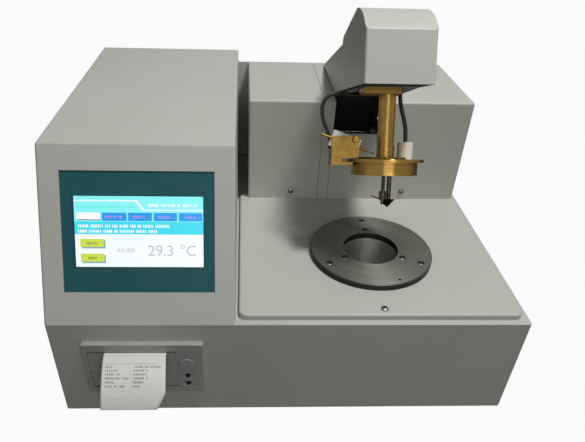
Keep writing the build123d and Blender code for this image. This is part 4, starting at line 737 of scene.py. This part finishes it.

# %% [markdown]
# ## The printer's front
#
# The rim left of the paper door is a little wider than in the plain solid, so a copy of the moulding has its
# left edge moved out. Two thin plates of the printer's grey fill the gaps beside the door. They are painted
# light over the shade that the gaps would show. The door's hinge pins pass through their lower ends.

# %% Printer front
PRINTER_LEFT = -193.7
RIM_PAST = 1.7
RIM_WIDER = 2.4
DOOR_GAPS = ((-190.18, -189.74), (-108.66, -108.22))
FILLER_FRONT = -4.3
FILLER_BACK = -1.0
FILLER_LOW = 40.6
FILLER_HIGH = 84.2
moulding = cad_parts["printer_bezel"]
front_mesh = moulding.data.copy()
front_mesh.transform(moulding.matrix_world)
for vertex in front_mesh.vertices:
    if vertex.co.x < (PRINTER_LEFT + RIM_PAST) * MM:
        vertex.co.x -= RIM_WIDER * MM
front = bpy.data.objects.new("printer_front", front_mesh)
bpy.context.scene.collection.objects.link(front)
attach(front, "housing")
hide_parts("printer_bezel")
# Grey filler plates in the door gaps: painted light over the gaps' shade.
gap_fillers = bmesh.new()
for x0, x1 in DOOR_GAPS:
    filler_verts = bmesh.ops.create_cube(gap_fillers, size=1.0)["verts"]
    middle = Vector(((x0 + x1) / 2, (FILLER_FRONT + FILLER_BACK) / 2, (FILLER_LOW + FILLER_HIGH) / 2))
    reach = Vector((x1 - x0, FILLER_BACK - FILLER_FRONT, FILLER_HIGH - FILLER_LOW))
    for vertex in filler_verts:
        vertex.co = Vector((vertex.co[i] * reach[i] + middle[i] for i in range(3))) * MM
        vertex.co += Vector((0.0, CASE_LOW.y, CASE_LOW.z))
new_piece("printer_gap_fillers", gap_fillers, printer_grey, "housing")
print("printer front done")

# %% [markdown]
# ## The tower's seams
#
# The tower is covered by three folded sheets. The joints between them are narrow and deep, so each shows as a
# dark line down the front and over the top. A dark strip laid flush in each groove paints that shade.

# %% Seam lines
SEAMS_X = (45.0, 57.5)
SEAM_W = 0.46
SEAM_DEEP = 0.4
TOWER_FRONT = 224.0
TOWER_FOOT = 121.7
TOWER_TOP = 244.5
TOWER_BACK = 364.0
seams = bmesh.new()
for x in SEAMS_X:
    for y0, y1, z0, z1 in ((TOWER_FRONT, TOWER_FRONT + SEAM_DEEP, TOWER_FOOT, TOWER_TOP - 3.0),
                           (TOWER_FRONT + 3.0, TOWER_BACK, TOWER_TOP - SEAM_DEEP, TOWER_TOP)):
        line = bmesh.ops.create_cube(seams, size=1.0)["verts"]
        middle = Vector((x, (y0 + y1) / 2, (z0 + z1) / 2))
        reach = Vector((SEAM_W, y1 - y0, z1 - z0))
        for vertex in line:
            vertex.co = Vector((vertex.co[i] * reach[i] + middle[i] for i in range(3))) * MM
            vertex.co += Vector((0.0, CASE_LOW.y, CASE_LOW.z))
# Painted shade: dark strips in the seam grooves.
new_piece("tower_seam_shade", seams, moulded("seam_painted_shade", "#2A2A27", "#232320", 0.7), "housing")
print("seams drawn")

# %% [markdown]
# ## The printed slip
#
# The slip comes out of the slot over the door, runs straight out over its top edge and then hangs forward in
# a wide curve, with its lower right corner rolled back. It is one sheet, made as a grid that a function
# carries along this path, so the print can be laid on it by the same function. It rides on the door.

# %% Path of the slip
STRIP_W = 57.5
STRIP_X = -145.7
SLIP_START = 3.0
SLIP_BEND = -8.3
SLIP_Z = 84.68
SLIP_R = 46.0
SLIP_TURN = math.radians(64.5)
SWING = 2.2
SWING_TURN = math.radians(110.0)
CURL_R = 2.0
CURL_LIMIT = math.radians(165)
STRAIGHT = SLIP_START - SLIP_BEND
STRIP_L = STRAIGHT + SLIP_R * SLIP_TURN
CURL_FROM = Vector((STRIP_W, STRIP_L - 19.0))
CURL_TO = Vector((STRIP_W - 9.2, STRIP_L + 0.5))
along_curl = (CURL_TO - CURL_FROM).normalized()
past_curl = Vector((-along_curl.y, along_curl.x))
if past_curl.dot(Vector((STRIP_W, STRIP_L)) - CURL_FROM) < 0:
    past_curl = -past_curl


def on_path(mark):
    """The y and z of the slip at a length from its start, and its outward direction."""
    if mark < STRAIGHT:
        return SLIP_START - mark, SLIP_Z, Vector((0.0, 0.0, 1.0))
    angle = (mark - STRAIGHT) / SLIP_R
    out = Vector((0.0, -math.sin(angle), math.cos(angle)))
    return SLIP_BEND - SLIP_R * math.sin(angle), SLIP_Z - SLIP_R * (1 - math.cos(angle)), out


def on_strip(across, down, proud=0.0):
    """A point of the slip, in millimetres from its left edge and its start, in the model's frame."""
    place = Vector((across, down))
    past = (place - CURL_FROM).dot(past_curl)
    back = 0.0
    tilt = 0.0
    if past > 0:
        angle = min(past / CURL_R, CURL_LIMIT)
        rest = past - angle * CURL_R
        reach = CURL_R * math.sin(angle) + rest * math.cos(angle)
        back = CURL_R * (1 - math.cos(angle)) + rest * math.sin(angle)
        place += past_curl * (reach - past)
        tilt = angle
    y, z, out = on_path(place.y)
    hang = max(0.0, place.y - STRAIGHT) / (STRIP_L - STRAIGHT)
    x = STRIP_X - STRIP_W / 2 + place.x + SWING * math.sin(hang * SWING_TURN)
    side = Vector((1.0, 0.0, 0.0)) * past_curl.x + Vector((0.0, out.z, -out.y)) * -past_curl.y
    face = out * math.cos(tilt) + side * math.sin(tilt)
    point = Vector((x, y, z)) - out * back + face * proud
    return point * MM + Vector((0.0, CASE_LOW.y, CASE_LOW.z))


print("slip", round(STRIP_L, 1), "mm long")

# %% Lay the strip
COLUMNS = 40
ROWS = 110
SHEET_T = 0.12
sheet = bmesh.new()
grid = [[sheet.verts.new(on_strip(STRIP_W * i / COLUMNS, STRIP_L * j / ROWS, 0.0))
         for i in range(COLUMNS + 1)] for j in range(ROWS + 1)]
back_grid = [[sheet.verts.new(on_strip(STRIP_W * i / COLUMNS, STRIP_L * j / ROWS, -SHEET_T))
              for i in range(COLUMNS + 1)] for j in range(ROWS + 1)]
for j in range(ROWS):
    for i in range(COLUMNS):
        sheet.faces.new((grid[j][i], grid[j + 1][i], grid[j + 1][i + 1], grid[j][i + 1]))
        sheet.faces.new((back_grid[j][i], back_grid[j][i + 1], back_grid[j + 1][i + 1], back_grid[j + 1][i]))
for j in range(ROWS):
    for i in (0, COLUMNS):
        sheet.faces.new((grid[j][i], grid[j + 1][i], back_grid[j + 1][i], back_grid[j][i]))
for i in range(COLUMNS):
    for j in (0, ROWS):
        sheet.faces.new((grid[j][i], grid[j][i + 1], back_grid[j][i + 1], back_grid[j][i]))
for face in sheet.faces:
    face.smooth = True
strip = new_piece("paper_slip", sheet, paper_white, "printer_door")
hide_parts("paper_strip")
print("slip laid")

# %% Print on the slip
FIRST_ROW = 12.5
ROW_PITCH = 3.6
SLIP_ROWS = ((31, 11.0, 29.0, 53.5), (32, 15.5, 29.0, 42.0), (33, 17.5, 29.0, 42.0),
             (34, 25.0, 29.0, 43.0), (35, 12.5, 28.5, 39.5), (36, 22.5, 28.5, 35.0))
INK_T = 0.05
INK_LINES = 3


def ink(mesh, x0, y0, x1, y1):
    """A thin bar of ink on the slip, which follows its curve."""
    marks = [y0 + (y1 - y0) * i / INK_LINES for i in range(INK_LINES + 1)]
    rows = []
    for y in marks:
        rows.append([mesh.verts.new(on_strip(x, STRAIGHT + y, level)) for x in (x0, x1)
                     for level in (INK_T, -SHEET_T / 2)])
    for a, b in zip(rows, rows[1:]):
        mesh.faces.new((a[0], b[0], b[2], a[2]))
        mesh.faces.new((a[1], a[3], b[3], b[1]))
        mesh.faces.new((a[0], a[1], b[1], b[0]))
        mesh.faces.new((a[2], b[2], b[3], a[3]))
    first, last = rows[0], rows[-1]
    mesh.faces.new((first[0], first[2], first[3], first[1]))
    mesh.faces.new((last[0], last[1], last[3], last[2]))


slip_print = bmesh.new()
ink(slip_print, 3.4, 9.4, 49.5, 9.65)
for row, (seed, label_end, value_start, value_end) in enumerate(SLIP_ROWS):
    down = FIRST_ROW + ROW_PITCH * row
    dice = random.Random(seed * 7)
    for start, end in ((3.6, label_end), (value_start, value_end)):
        for a, b in bars(seed + int(start), start, end, 1.25, 0.42):
            rise = dice.uniform(1.6, 2.3)
            ink(slip_print, a, down + 1.1 - rise, a + (b - a) * 0.4, down + 1.1)
            ink(slip_print, a + (b - a) * 0.4, down + 0.7, b, down + 1.1)
            ink(slip_print, b - 0.35, down - 0.5, b, down + 0.7)
    ink(slip_print, 26.1, down - 0.4, 26.5, down - 0.1)
    ink(slip_print, 26.1, down + 0.5, 26.5, down + 0.8)
slip_ink = moulded("slip_ink", "#6B6B6B", "#5C5C5C", 0.6)
new_piece("paper_print", slip_print, slip_ink, "printer_door")
faint = bmesh.new()
ink(faint, 5.0, 41.4, 40.0, 41.65)
new_piece("paper_faint_line", faint, moulded("faint_ink", "#B9B9B2", "#B2B2AB", 0.6), "printer_door")
print("slip printed")

# %% [markdown]
# ## Screws
#
# Every screw is the same shape many times over, so Geometry Nodes make them: a domed head with a cross
# recess and a shank is built once, and put on each point of a small mesh. Each point carries the direction
# in which its screw looks. A random turn, with a fixed seed, leaves each cross at its own angle, as a
# screwdriver does.

# %% Helpers for node trees


def tree_socket(tree, name, kind, value=None):
    """Add a named input to a node tree, with its value to start from."""
    made = tree.interface.new_socket(name=name, in_out="INPUT", socket_type=kind)
    if value is not None:
        made.default_value = value
    return made


def new_tree(name):
    """A geometry tree with a geometry input and output."""
    tree = bpy.data.node_groups.new(name, "GeometryNodeTree")
    tree.interface.new_socket(name="Geometry", in_out="OUTPUT", socket_type="NodeSocketGeometry")
    tree_socket(tree, "Geometry", "NodeSocketGeometry")
    return tree


def node(tree, kind, **settings):
    """Add a node and set its properties."""
    made = tree.nodes.new(kind)
    for key, value in settings.items():
        setattr(made, key, value)
    return made


def wire(tree, source, target):
    """Join two sockets."""
    tree.links.new(source, target)


def maths(tree, operation, first, second):
    """A Math node whose inputs are sockets or numbers."""
    made = node(tree, "ShaderNodeMath", operation=operation)
    for place, value in ((0, first), (1, second)):
        if isinstance(value, (int, float)):
            made.inputs[place].default_value = value
        else:
            wire(tree, value, made.inputs[place])
    return made.outputs[0]


def combine(tree, x, y, z):
    """A vector from sockets or numbers."""
    made = node(tree, "ShaderNodeCombineXYZ")
    for place, value in enumerate((x, y, z)):
        if isinstance(value, (int, float)):
            made.inputs[place].default_value = value
        else:
            wire(tree, value, made.inputs[place])
    return made.outputs[0]


def grown(name, start, tree, values):
    """Run a node tree on a mesh with these inputs, and keep the result as a plain mesh."""
    seedling = bpy.data.objects.new(name + "_start", start)
    bpy.context.scene.collection.objects.link(seedling)
    modifier = seedling.modifiers.new("nodes", "NODES")
    modifier.node_group = tree
    for item in tree.interface.items_tree:
        if item.in_out == "INPUT" and item.name in values:
            modifier[item.identifier] = values[item.name]
    bpy.context.view_layer.update()
    graph = bpy.context.evaluated_depsgraph_get()
    flat = bpy.data.meshes.new_from_object(seedling.evaluated_get(graph))
    seedling.modifiers.remove(modifier)
    bpy.data.objects.remove(seedling)
    flat.name = name
    return flat


def placed(name, flat, body):
    """Link a plain mesh as a piece that rides on a body."""
    piece = bpy.data.objects.new(name, flat)
    bpy.context.scene.collection.objects.link(piece)
    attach(piece, body)
    return piece


# %% The screw tree
screw_tree = new_tree("cross_recess_screw")
for socket_name, start_value in (("Head Radius", 3.5 * MM), ("Head Height", 2.2 * MM),
                                 ("Shank Radius", 2.0 * MM), ("Shank Length", 6.0 * MM),
                                 ("Cross Reach", 3.4 * MM),
                                 ("Cross Width", 0.8 * MM), ("Cross Depth", 1.2 * MM)):
    tree_socket(screw_tree, socket_name, "NodeSocketFloat", start_value)
tree_socket(screw_tree, "Turn Seed", "NodeSocketInt", 5)
tree_socket(screw_tree, "Finish", "NodeSocketMaterial")
into = node(screw_tree, "NodeGroupInput")
size = into.outputs
head = node(screw_tree, "GeometryNodeMeshCylinder")
head.inputs["Vertices"].default_value = 40
wire(screw_tree, size["Head Radius"], head.inputs["Radius"])
wire(screw_tree, maths(screw_tree, "MULTIPLY", size["Head Height"], 2.0), head.inputs["Depth"])
dome = node(screw_tree, "GeometryNodeMeshUVSphere")
dome.inputs["Segments"].default_value = 40
dome.inputs["Rings"].default_value = 20
dome.inputs["Radius"].default_value = 1.0
shaped = node(screw_tree, "GeometryNodeTransform")
wire(screw_tree, dome.outputs["Mesh"], shaped.inputs["Geometry"])
wire(screw_tree, combine(screw_tree, maths(screw_tree, "MULTIPLY", size["Head Radius"], 1.16),
                         maths(screw_tree, "MULTIPLY", size["Head Radius"], 1.16), size["Head Height"]),
     shaped.inputs["Scale"])
domed = node(screw_tree, "GeometryNodeMeshBoolean", operation="INTERSECT", solver="EXACT")
wire(screw_tree, head.outputs["Mesh"], domed.inputs["Mesh 2"])
wire(screw_tree, shaped.outputs["Geometry"], domed.inputs["Mesh 2"])
floor_cut = node(screw_tree, "GeometryNodeMeshCube")
wire(screw_tree, combine(screw_tree, maths(screw_tree, "MULTIPLY", size["Head Radius"], 4.0),
                         maths(screw_tree, "MULTIPLY", size["Head Radius"], 4.0),
                         maths(screw_tree, "MULTIPLY", size["Head Height"], 4.0)), floor_cut.inputs["Size"])
lowered = node(screw_tree, "GeometryNodeTransform")
wire(screw_tree, floor_cut.outputs["Mesh"], lowered.inputs["Geometry"])
wire(screw_tree, combine(screw_tree, 0.0, 0.0, maths(screw_tree, "MULTIPLY", size["Head Height"], -2.0)),
     lowered.inputs["Translation"])
blades = node(screw_tree, "GeometryNodeJoinGeometry")
for flip in (False, True):
    cut = node(screw_tree, "GeometryNodeMeshCube")
    wide = (size["Cross Width"], size["Cross Reach"]) if flip else (size["Cross Reach"], size["Cross Width"])
    deep = maths(screw_tree, "MULTIPLY", size["Cross Depth"], 2.0)
    wire(screw_tree, combine(screw_tree, wide[0], wide[1], deep), cut.inputs["Size"])
    raised_cut = node(screw_tree, "GeometryNodeTransform")
    wire(screw_tree, cut.outputs["Mesh"], raised_cut.inputs["Geometry"])
    wire(screw_tree, combine(screw_tree, 0.0, 0.0, size["Head Height"]), raised_cut.inputs["Translation"])
    wire(screw_tree, raised_cut.outputs["Geometry"], blades.inputs["Geometry"])
recessed = node(screw_tree, "GeometryNodeMeshBoolean", operation="DIFFERENCE", solver="EXACT")
wire(screw_tree, domed.outputs["Mesh"], recessed.inputs["Mesh 1"])
wire(screw_tree, blades.outputs["Geometry"], recessed.inputs["Mesh 2"])
wire(screw_tree, lowered.outputs["Geometry"], recessed.inputs["Mesh 2"])
shank = node(screw_tree, "GeometryNodeMeshCylinder")
shank.inputs["Vertices"].default_value = 24
wire(screw_tree, size["Shank Radius"], shank.inputs["Radius"])
wire(screw_tree, size["Shank Length"], shank.inputs["Depth"])
sunk = node(screw_tree, "GeometryNodeTransform")
wire(screw_tree, shank.outputs["Mesh"], sunk.inputs["Geometry"])
wire(screw_tree, combine(screw_tree, 0.0, 0.0, maths(screw_tree, "MULTIPLY", size["Shank Length"], -0.499)),
     sunk.inputs["Translation"])
whole = node(screw_tree, "GeometryNodeJoinGeometry")
wire(screw_tree, recessed.outputs["Mesh"], whole.inputs["Geometry"])
wire(screw_tree, sunk.outputs["Geometry"], whole.inputs["Geometry"])
aim = node(screw_tree, "GeometryNodeInputNamedAttribute", data_type="FLOAT_VECTOR")
aim.inputs["Name"].default_value = "aim"
facing = node(screw_tree, "FunctionNodeAlignRotationToVector", axis="Z")
wire(screw_tree, aim.outputs["Attribute"], facing.inputs["Vector"])
dice_node = node(screw_tree, "FunctionNodeRandomValue", data_type="FLOAT")
wire(screw_tree, size["Turn Seed"], dice_node.inputs["Seed"])
dice_node.inputs[3].default_value = math.pi
spin = node(screw_tree, "FunctionNodeAxisAngleToRotation")
spin.inputs["Axis"].default_value = (0.0, 0.0, 1.0)
wire(screw_tree, dice_node.outputs[1], spin.inputs["Angle"])
turned = node(screw_tree, "FunctionNodeRotateRotation", rotation_space="LOCAL")
wire(screw_tree, facing.outputs["Rotation"], turned.inputs["Rotation"])
wire(screw_tree, spin.outputs["Rotation"], turned.inputs["Rotate By"])
strewn = node(screw_tree, "GeometryNodeInstanceOnPoints")
wire(screw_tree, size["Geometry"], strewn.inputs["Points"])
wire(screw_tree, whole.outputs["Geometry"], strewn.inputs["Instance"])
wire(screw_tree, turned.outputs["Rotation"], strewn.inputs["Rotation"])
real = node(screw_tree, "GeometryNodeRealizeInstances")
wire(screw_tree, strewn.outputs["Instances"], real.inputs["Geometry"])
plated = node(screw_tree, "GeometryNodeSetMaterial")
wire(screw_tree, real.outputs["Geometry"], plated.inputs["Geometry"])
wire(screw_tree, size["Finish"], plated.inputs["Material"])
out = node(screw_tree, "NodeGroupOutput")
wire(screw_tree, plated.outputs["Geometry"], out.inputs["Geometry"])
print("screw tree", len(screw_tree.nodes), "nodes")

# %% Put in the screws
CASE_D = 366.5
PLATEAU_TOP = 121.5
FRAME_TOP = 128.4
FOOT_X = 191.0
FOOT_Y = (34.0, 332.5)
REAR_SCREWS = ((-216.0, 30.0), (-216.0, 100.0), (216.0, 30.0), (216.0, 100.0),
               (-200.0, 251.0), (-77.5, 251.0), (-14.5, 236.5), (190.0, 236.5))
TOWER_SCREWS = ((12.3, 224.0, 132.0), (149.0, 224.0, 132.0))
PLATEAU_SCREW = (87.5, 14.9, PLATEAU_TOP)
FAN_X = 150.0
FAN_Z = 62.0
FAN_SCREW = 35.75
RING_HEAD_H = 2.2


def screw_points(name, places):
    """A mesh with a vertex for each screw, which holds where its screw looks."""
    start = bpy.data.meshes.new(name)
    start.from_pydata([Vector(p) * MM + Vector((0, CASE_LOW.y, CASE_LOW.z)) for p, _ in places], [], [])
    start.attributes.new("aim", "FLOAT_VECTOR", "POINT")
    for item, (_, direction) in zip(start.attributes["aim"].data, places):
        item.vector = direction
    return start


BACKWARD = (0.0, 1.0, 0.0)
FORWARD = (0.0, -1.0, 0.0)
UPWARD = (0.0, 0.0, 1.0)
DOWNWARD = (0.0, 0.0, -1.0)
case_places = [((x, CASE_D, z), BACKWARD) for x, z in REAR_SCREWS]
case_places += [(place, FORWARD) for place in TOWER_SCREWS]
case_places += [(PLATEAU_SCREW, UPWARD)]
case_places += [((x, y, -4.0), DOWNWARD) for x in (-FOOT_X, FOOT_X) for y in FOOT_Y]
ring_places = []
for reach in (54.5, 34.6):
    for angle in (-150.0, -30.0, 90.0):
        x = 90.0 + reach * math.cos(math.radians(angle))
        y = 106.0 + reach * math.sin(math.radians(angle))
        ring_places.append(((x, y, FRAME_TOP - RING_HEAD_H - 0.2), UPWARD))
fan_places = [((FAN_X + i * FAN_SCREW, CASE_D + 2.0, FAN_Z + k * FAN_SCREW), BACKWARD)
              for i in (-1, 1) for k in (-1, 1)]
screw_zinc = plain_metal("screw_zinc", "#8F908E", "#7C7D7C", 0.34, 200.0)
for name, places, values in (
        ("case_screws", case_places, {"Shank Length": 6.0 * MM, "Turn Seed": 5}),
        ("ring_screws", ring_places, {"Head Radius": 3.2 * MM, "Head Height": RING_HEAD_H * MM,
                                      "Shank Length": 7.0 * MM, "Turn Seed": 11}),
        ("fan_screws", fan_places, {"Shank Length": 14.0 * MM, "Turn Seed": 17})):
    flat = grown(name + "_fine", screw_points(name + "_points", places), screw_tree,
                 {**values, "Finish": screw_zinc})
    piece = placed(name + "_fine", flat, "housing")
    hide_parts(name)

# %% [markdown]
# ## The fan's finger guard
#
# The guard is welded from round wire: rings inside each other and four spokes that end in screw eyes. One
# tree draws the rings as circles scaled by their number, and the spokes as lines turned by their number, and
# sweeps a round profile along both.

# %% The guard tree
guard_tree = new_tree("wire_guard")
for socket_name, start_value in (("First Ring", 12.0 * MM), ("Ring Step", 8.0 * MM),
                                 ("Spoke Start", 11.0 * MM), ("Spoke End", 46.5 * MM),
                                 ("Wire Radius", 0.9 * MM)):
    tree_socket(guard_tree, socket_name, "NodeSocketFloat", start_value)
tree_socket(guard_tree, "Rings", "NodeSocketInt", 4)
tree_socket(guard_tree, "Spokes", "NodeSocketInt", 4)
tree_socket(guard_tree, "Finish", "NodeSocketMaterial")
guard_in = node(guard_tree, "NodeGroupInput").outputs
wire_profile = node(guard_tree, "GeometryNodeCurvePrimitiveCircle")
wire_profile.inputs["Resolution"].default_value = 10
wire(guard_tree, guard_in["Wire Radius"], wire_profile.inputs["Radius"])
count = node(guard_tree, "GeometryNodeInputIndex").outputs[0]


def repeated(number, curve, scale, rotation):
    """Copies of a curve on a row of points, each scaled and turned by its number."""
    row = node(guard_tree, "GeometryNodePoints")
    wire(guard_tree, number, row.inputs["Count"])
    copies = node(guard_tree, "GeometryNodeInstanceOnPoints")
    wire(guard_tree, row.outputs["Points"], copies.inputs["Points"])
    wire(guard_tree, curve, copies.inputs["Instance"])
    if scale is not None:
        wire(guard_tree, scale, copies.inputs["Scale"])
    if rotation is not None:
        wire(guard_tree, rotation, copies.inputs["Rotation"])
    loose = node(guard_tree, "GeometryNodeRealizeInstances")
    wire(guard_tree, copies.outputs["Instances"], loose.inputs["Geometry"])
    return loose.outputs["Geometry"]


circle = node(guard_tree, "GeometryNodeCurvePrimitiveCircle")
circle.inputs["Resolution"].default_value = 48
circle.inputs["Radius"].default_value = 1.0
ring_radius = maths(guard_tree, "ADD", guard_in["First Ring"],
                    maths(guard_tree, "MULTIPLY", count, guard_in["Ring Step"]))
rings = repeated(guard_in["Rings"], circle.outputs["Curve"],
                 combine(guard_tree, ring_radius, ring_radius, ring_radius), None)
spoke = node(guard_tree, "GeometryNodeCurvePrimitiveLine")
wire(guard_tree, combine(guard_tree, guard_in["Spoke Start"], 0.0, 0.0), spoke.inputs["Start"])
wire(guard_tree, combine(guard_tree, guard_in["Spoke End"], 0.0, 0.0), spoke.inputs["End"])
spoke_turn = maths(guard_tree, "ADD", maths(guard_tree, "MULTIPLY", count, math.pi / 2), math.pi / 4)
spokes = repeated(guard_in["Spokes"], spoke.outputs["Curve"], None, combine(guard_tree, 0.0, 0.0, spoke_turn))
joined = node(guard_tree, "GeometryNodeJoinGeometry")
wire(guard_tree, rings, joined.inputs["Geometry"])
wire(guard_tree, spokes, joined.inputs["Geometry"])
swept = node(guard_tree, "GeometryNodeCurveToMesh")
swept.inputs["Fill Caps"].default_value = True
wire(guard_tree, joined.outputs["Geometry"], swept.inputs["Curve"])
wire(guard_tree, wire_profile.outputs["Curve"], swept.inputs["Profile Curve"])
eye = node(guard_tree, "GeometryNodeMeshCylinder")
eye.inputs["Vertices"].default_value = 28
eye.inputs["Radius"].default_value = 4.4 * MM
eye.inputs["Depth"].default_value = 0.9 * MM
eye_places = repeated(guard_in["Spokes"], spoke.outputs["Curve"], None,
                      combine(guard_tree, 0.0, 0.0, spoke_turn))
eye_ends = node(guard_tree, "GeometryNodeCurveEndpointSelection")
eye_ends.inputs["Start Size"].default_value = 0
eyes = node(guard_tree, "GeometryNodeInstanceOnPoints")
wire(guard_tree, eye_places, eyes.inputs["Points"])
wire(guard_tree, eye_ends.outputs["Selection"], eyes.inputs["Selection"])
wire(guard_tree, eye.outputs["Mesh"], eyes.inputs["Instance"])
guard_all = node(guard_tree, "GeometryNodeJoinGeometry")
wire(guard_tree, swept.outputs["Mesh"], guard_all.inputs["Geometry"])
wire(guard_tree, eyes.outputs["Instances"], guard_all.inputs["Geometry"])
guard_real = node(guard_tree, "GeometryNodeRealizeInstances")
wire(guard_tree, guard_all.outputs["Geometry"], guard_real.inputs["Geometry"])
guard_plated = node(guard_tree, "GeometryNodeSetMaterial")
wire(guard_tree, guard_real.outputs["Geometry"], guard_plated.inputs["Geometry"])
wire(guard_tree, guard_in["Finish"], guard_plated.inputs["Material"])
guard_out = node(guard_tree, "NodeGroupOutput")
wire(guard_tree, guard_plated.outputs["Geometry"], guard_out.inputs["Geometry"])
print("guard tree", len(guard_tree.nodes), "nodes")

# %% Put on the guard
guard_mesh = grown("fan_guard_wire", bpy.data.meshes.new("guard_start"), guard_tree,
                   {"Spoke End": math.hypot(FAN_SCREW, FAN_SCREW) * MM, "Finish": screw_zinc})
stand_up = Matrix.Rotation(math.radians(90), 4, "X")
guard_mesh.transform(Matrix.Translation(Vector((FAN_X, CASE_D + 1.0, FAN_Z)) * MM
                                        + Vector((0, CASE_LOW.y, CASE_LOW.z))) @ stand_up)
for face in guard_mesh.polygons:
    face.use_smooth = True
guard = placed("fan_guard_wire", guard_mesh, "housing")
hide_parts("fan_guard")
print("guard", len(guard_mesh.polygons), "faces")
